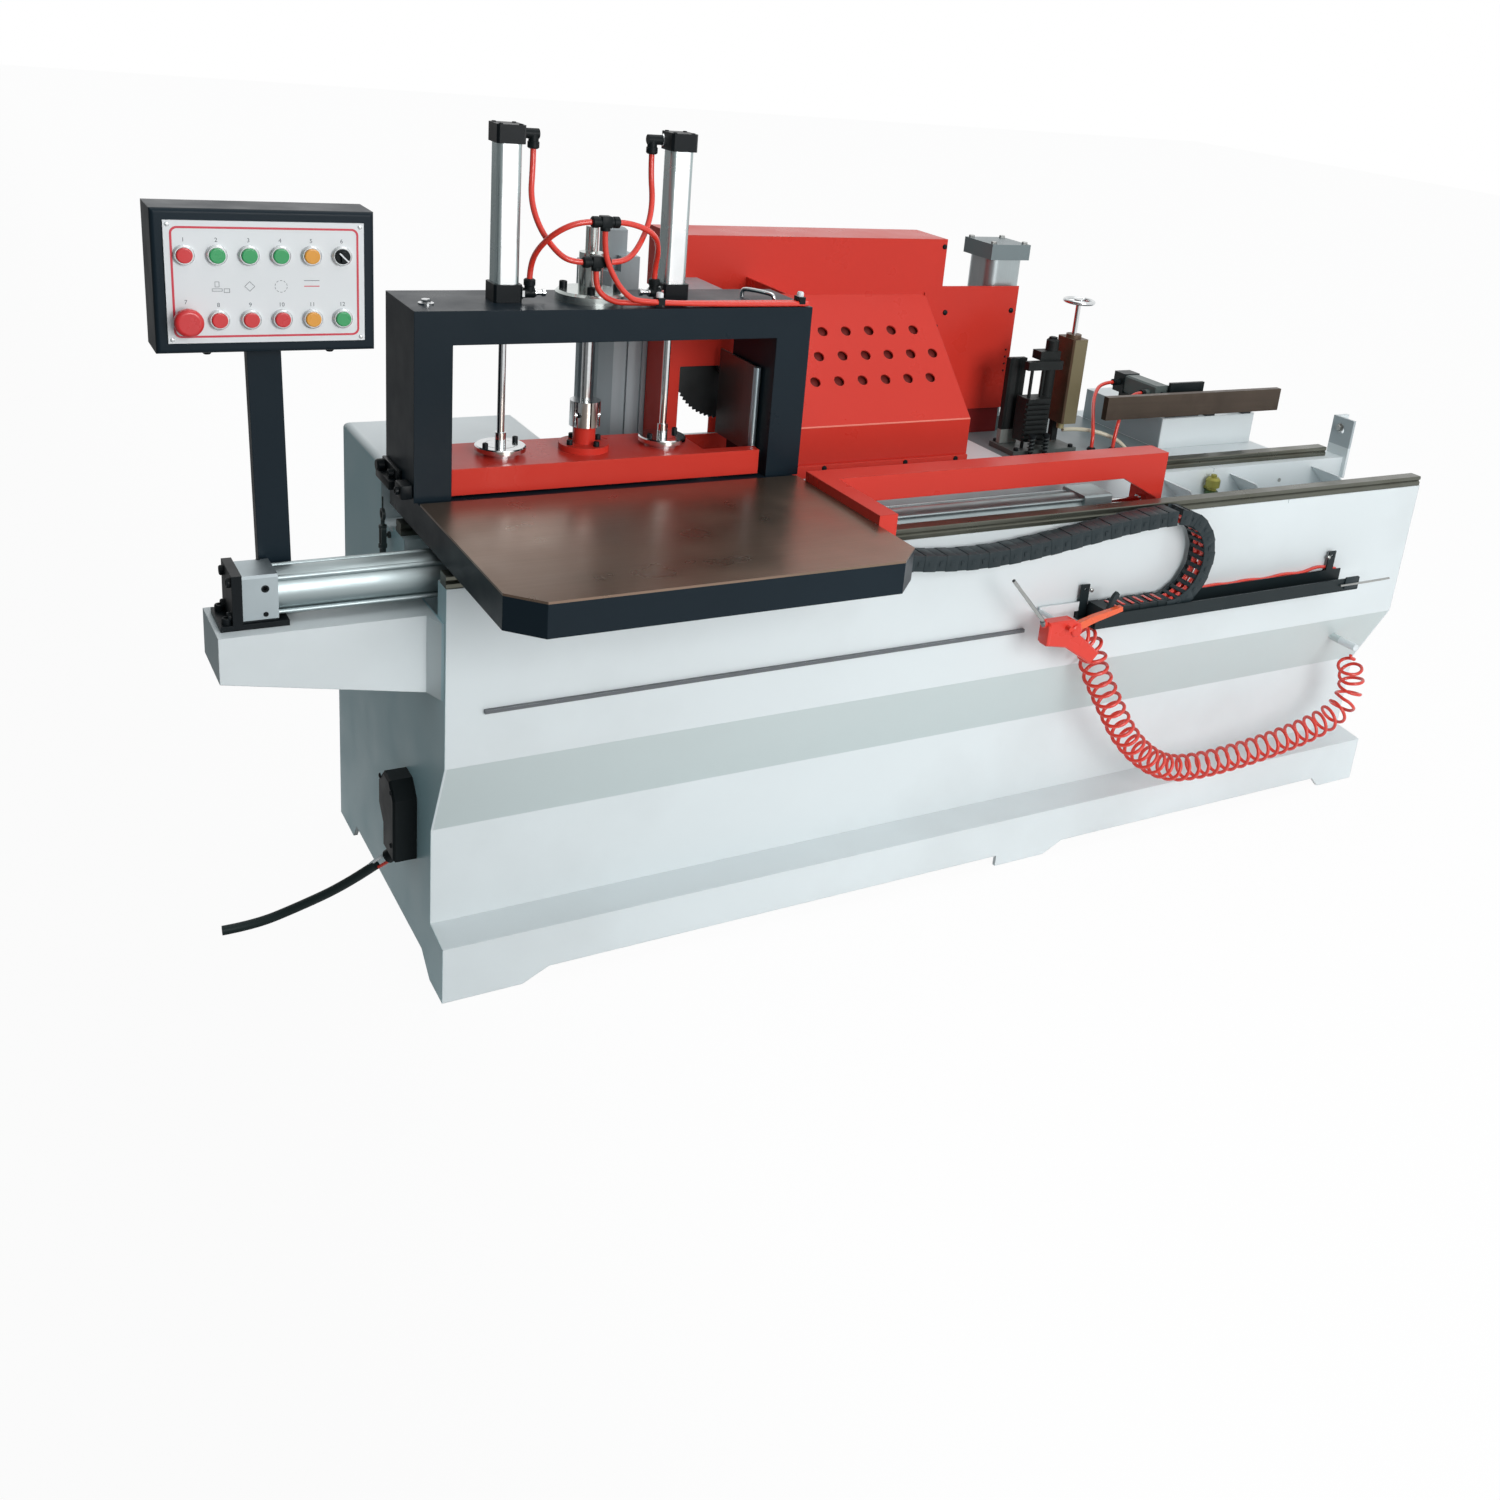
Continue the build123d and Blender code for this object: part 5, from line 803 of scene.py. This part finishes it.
# Screws of the drive cylinder, its feet and the junction box
CYLINDER_END, FOOT_X, PORT_X, BOX_FACE = -298.6, -312, -256, -41.8
bm = bmesh.new()
for y in (87, 143):
    for z in (739, 795):
        socket_screw(bm, (CYLINDER_END, y, z), LEFT, 8, 12)
for y in (86, 144):
    socket_screw(bm, (FOOT_X, y, 728.6), UP, 7.5, 10)
for z, r in ((783, 6), (741, 4)):
    plug = [(0, 0), (r, 0), (r, 0.8), (r * 0.6, 0.8), (r * 0.5, 0.2), (0, 0.2)]
    turned(bm, plug, (PORT_X, 77.2, z), FRONT, 14)
for y, z in ((170, 338), (238, 338), (170, 232)):
    round_head(bm, (BOX_FACE, y, z), LEFT, 5, 3)
shape("base_screws", bm, "base", "black_paint", "screw_black")

# Hood: screws as (x, z, radius, height) on its front, foot strip and rear, and the liner behind its holes,
# painted a darker red as shade inside the hood
HOOD_SEAT, STRIP_SEAT, REAR_SEAT = 650.2, 414.2, 779.8
HOOD_SCREWS = [(1341, 1219, 6, 4), (1364, 1068, 6.5, 4), (1555, 1071, 6.5, 4), (1344, 1037, 3.6, 2.5)]
HOOD_SCREWS += [(1556, z, 2.6, 2) for z in (976, 959, 942, 925)] + [(690, 1219, 6, 4)]
FOOT_STRIP = [(414, DECK_SEAT), (414, 798), (415.5, 799.5), (420.2, 799.5), (420.2, DECK_SEAT)]
LINER, LINER_X = [(498, 946), (504, 946), (606, 1048), (606, 1054)], (880, 1292)
bm = bmesh.new()
for x, z, r, h in HOOD_SCREWS:
    round_head(bm, (x, HOOD_SEAT, z), FRONT, r, h)
for x in (932, 1137, 1271):
    round_head(bm, (x, STRIP_SEAT, 792), FRONT, 6, 4)
for x in (700, 860, 1020, 1180, 1320):
    for z in (1215, 1130):
        round_head(bm, (x, REAR_SEAT, z), REAR, 5, 3)
shape("hood_screws", bm, "base", "black_paint", "screw_black")
bm = bmesh.new()
slab(bm, FOOT_STRIP, HOOD_X, 0)
shape("hood_flange", bm, "base", "red_paint")
bm = bmesh.new()
slab(bm, LINER, LINER_X, 0)
shape("hood_liner", bm, "base", "red_paint", "hood_inside_shade")

# Bolts of the end stop, the trough, the duct and the upright cylinder, the trough's ribs and the oil cup
STOP_BOLT = (264, 850)
LIFT_MIDDLE, LIFT_BOLT, LIFT_TOP = (1540, 716), 45, 1223.8
RIB_TOP, RIB_FOOT, RIB_LEAN, RIB_THICK, RIB_Y = 765, 680, 90, 7, (150, 236.2)
CUP_X = 1876
CUP_PIPE = [(0, 0), (7, 0), (7, 9), (6, 10), (6, 16)]
CUP = [(0, -14), (13, -14), (16, -10), (16, -2), (11, 2), (11, 6), (17, 9), (17, 26), (13, 31), (7, 32),
       (7, 38), (0, 39)]
bm = bmesh.new()
turned(bm, [(5, 0), (11, 0), (11, 2), (5, 2)], (2335, *STOP_BOLT), LEFT)
hexagon(bm, (2333, *STOP_BOLT), LEFT, 8, 6)
turned(bm, [(0, 0), (5, 0), (5, 1), (3, 1), (2.6, -1), (0, -1)], (2121, 235.6, 737), FRONT, 12)
for x in (1344, 2055):
    round_head(bm, (x, -11, 632), FRONT, 5, 3)
for dx in (-LIFT_BOLT, LIFT_BOLT):
    for dy in (-LIFT_BOLT, LIFT_BOLT):
        hexagon(bm, (LIFT_MIDDLE[0] + dx, LIFT_MIDDLE[1] + dy, LIFT_TOP), UP, 7, 6)
shape("frame_bolts", bm, "base", "machined_steel")
bm = bmesh.new()
for x in (1737, 1947, 2225):
    foot = x + RIB_LEAN
    rib = [(x, RIB_TOP), (x + RIB_THICK, RIB_TOP), (foot + RIB_THICK, RIB_FOOT), (foot, RIB_FOOT)]
    slab(bm, rib, RIB_Y, 1)
shape("trough_ribs", bm, "base", "white_paint")
bm = bmesh.new()
turned(bm, CUP_PIPE, (CUP_X, 236, 738), FRONT, 12)
turned(bm, CUP, (CUP_X, 216, 736), UP, 16)
shape("oil_cup", bm, "base", "tank_bronze", "brass")

# Gun nozzle with its nut, and the duct's end parts
GUN_Y, ROD_Y, LINE_Y = -83, -71, -4.2
NOZZLE_RADIUS, ROD_RADIUS, LINE_RADIUS = 3.7, 2.6, 3.6
NOZZLE = [(1172, GUN_Y, 605), (1160, GUN_Y, 618), (1113, GUN_Y, 668), (1074, GUN_Y, 710)]
NOZZLE_AXIS = (-0.69, 0, 0.73)
PEG_HEAD = [(0, 0), (13, 0), (13, 3), (10, 5), (0, 5)]
END_CLIP, CLIP_Y = [(1342, 600), (1352, 600), (1372, 640), (1366, 646), (1358, 640)], (-66, -58)
DUCT_ROD = [(2040, ROD_Y, 586), (2100, ROD_Y, 586), (2150, ROD_Y, 586), (2206, ROD_Y, 587)]
DUCT_LINE = [(x, LINE_Y, z) for x, z in (
    (1648, 596), (1700, 603), (1752, 597), (1806, 602), (1862, 596), (1920, 604), (1980, 598),
    (2030, 610), (2072, 604), (2094, 598))]
finish_piece(route("gun_nozzle", NOZZLE, NOZZLE_RADIUS), "base", "chrome", "machined_steel")
bm = bmesh.new()
hexagon(bm, (1172, GUN_Y, 604), NOZZLE_AXIS, 8, 14)
turned(bm, PEG_HEAD, (1242, -95.2, 589), FRONT, 18)
brick(bm, (1168, 1178), (GUN_Y - 15, GUN_Y + 15), (566, 608), 3)
shape("gun_nut", bm, "base", "gun_red")
bm = bmesh.new()
slab(bm, END_CLIP, CLIP_Y, 1)
brick(bm, (2056, 2098), (ROD_Y, -67.6), (576, 604), 1)
shape("duct_end_clips", bm, "base", "chain_plastic")
finish_piece(route("duct_rod", DUCT_ROD, ROD_RADIUS), "base", "machined_steel")
hose("duct_line", DUCT_LINE, LINE_RADIUS, "base", "red_tube")

# Glue unit: springs on their pins, fasteners, and the deck's grommets
SPRINGS, SPRING_Y = {"glue_spring_left": 1502.0, "glue_spring_right": 1544.0}, 440
COIL_RADIUS, COIL_WIRE, COIL_FOOT, COIL_HIGH, COIL_TURNS, COIL_STEPS = 7.5, 1.7, 774, 44, 5, 12
SPRING_PIN = [(0, 0), (4.6, 0), (4.6, 48), (9, 48), (9, 55), (0, 55)]
HOSE_NUT = [(4, 0), (8, 0), (8, 8), (4, 8)]
GROMMET = [(4.8, 0), (11, 0), (11, 3), (8, 7), (4.8, 7)]
for name, x in SPRINGS.items():
    coil = []
    for i in range(COIL_TURNS * COIL_STEPS + 1):
        a = 2 * math.pi * i / COIL_STEPS
        z = COIL_FOOT + COIL_HIGH * i / (COIL_TURNS * COIL_STEPS)
        coil.append((x + COIL_RADIUS * math.cos(a), SPRING_Y + COIL_RADIUS * math.sin(a), z))
    finish_piece(route(name, coil, COIL_WIRE), "base", "machined_steel", "dark_steel")
bm = bmesh.new()
for x in SPRINGS.values():
    turned(bm, SPRING_PIN, (x, SPRING_Y, DECK_SEAT), UP, 12)
for x in (1476, 1638):
    for y in (460, 540):
        socket_screw(bm, (x, y, 783.8), UP, 6, 7)
hexagon(bm, (1572, 500, 1036.5), UP, 10, 5)
for x, y, z in (STOP_REAR[0], STOP_FRONT[0]):
    turned(bm, HOSE_NUT, (x - 8, y, z), RIGHT, 14)
shape("glue_fasteners", bm, "base", "black_paint", "screw_black")
bm = bmesh.new()
for x, y in (STOP_REAR[-1][:2], STOP_FRONT[-1][:2], GLUE_GROMMET):
    turned(bm, GROMMET, (x, y, DECK_SEAT), UP, 16)
shape("deck_grommets", bm, "base", "black_plastic")

# Floor: near white to the camera, with a faint shadow, and darker on the left for light and reflections
FLOOR_DARK_X, FLOOR_LEAST, FLOOR_PAINT, FLOOR_GLOW = (-1.5, -0.5), 0.16, 0.9, 0.96
bpy.ops.mesh.primitive_plane_add(size=40, location=(0, 0, -0.0005))
floor = bpy.context.object
floor.name = "floor"
ground = bpy.data.materials.new("floor")
ground.use_nodes = True
g = Graph(ground.node_tree)
g.nodes.remove(g.nodes["Principled BSDF"])
place = g.new("TexCoord").outputs["Object"]
side = g.ranged(g.split(place)[0], FLOOR_DARK_X, FLOOR_LEAST, 1.0, smooth=True)
pale = g.new("BsdfDiffuse")
g.link(g.reckon("MULTIPLY", side, FLOOR_PAINT), pale.inputs["Color"])
seen = g.new("LightPath").outputs
shown = g.reckon("MAXIMUM", seen["Is Camera Ray"], g.reckon("MULTIPLY", seen["Is Glossy Ray"], side))
glow = g.reckon("MULTIPLY", shown, FLOOR_GLOW)
mixed = g.either(glow, pale.outputs[0], g.new("Emission").outputs[0])
g.link(mixed, g.nodes["Material Output"].inputs["Surface"])
floor.data.materials.append(ground)

# The world is white to the camera, and darker on the left for light and reflections
SKY_DARK_X, SKY_LEAST, SKY_STRENGTH = (-0.95, 0.0), 0.12, 0.6
SKY_LEFT, SKY_RIGHT = (0.45, 0.92, 1.0), (0.96, 0.98, 1.0)
world = bpy.data.worlds.new("world")
scene.world = world
world.use_nodes = True
g = Graph(world.node_tree)
place = g.new("TexCoord").outputs["Generated"]
side = g.ranged(g.split(place)[0], SKY_DARK_X, SKY_LEAST, 1.0, smooth=True)
sky, mirror, clear = g.nodes["Background"], g.new("Background"), g.new("Background")
g.link(g.blend(side, SKY_LEFT, SKY_RIGHT), sky.inputs["Color"])
g.link(g.reckon("MULTIPLY", side, SKY_STRENGTH), sky.inputs["Strength"])
for white in (mirror, clear):
    white.inputs["Color"].default_value = (1, 1, 1, 1)
g.link(side, mirror.inputs["Strength"])
seen = g.new("LightPath").outputs
mirrored = g.reckon("MAXIMUM", seen["Is Glossy Ray"], seen["Is Transmission Ray"])
light = g.either(mirrored, sky.outputs[0], mirror.outputs[0])
shown = g.either(seen["Is Camera Ray"], light, clear.outputs[0])
g.link(shown, g.nodes["World Output"].inputs["Surface"])


def lamp(name, place, aim, size, power):
    d = bpy.data.lights.new(name, "AREA")
    d.size = size
    d.energy = power
    o = bpy.data.objects.new(name, d)
    o.location = place
    o.rotation_euler = (Vector(aim) - Vector(place)).to_track_quat("-Z", "Y").to_euler()
    scene.collection.objects.link(o)


lamp("key", (0.3, -5.2, 2.4), aim=(0, 0, 0.7), size=2.6, power=152)
lamp("top", (0.4, 0.2, 4.8), aim=(0, 0, 0.8), size=3.0, power=40)
scene.view_settings.view_transform = "Standard"

bpy.context.view_layer.update()
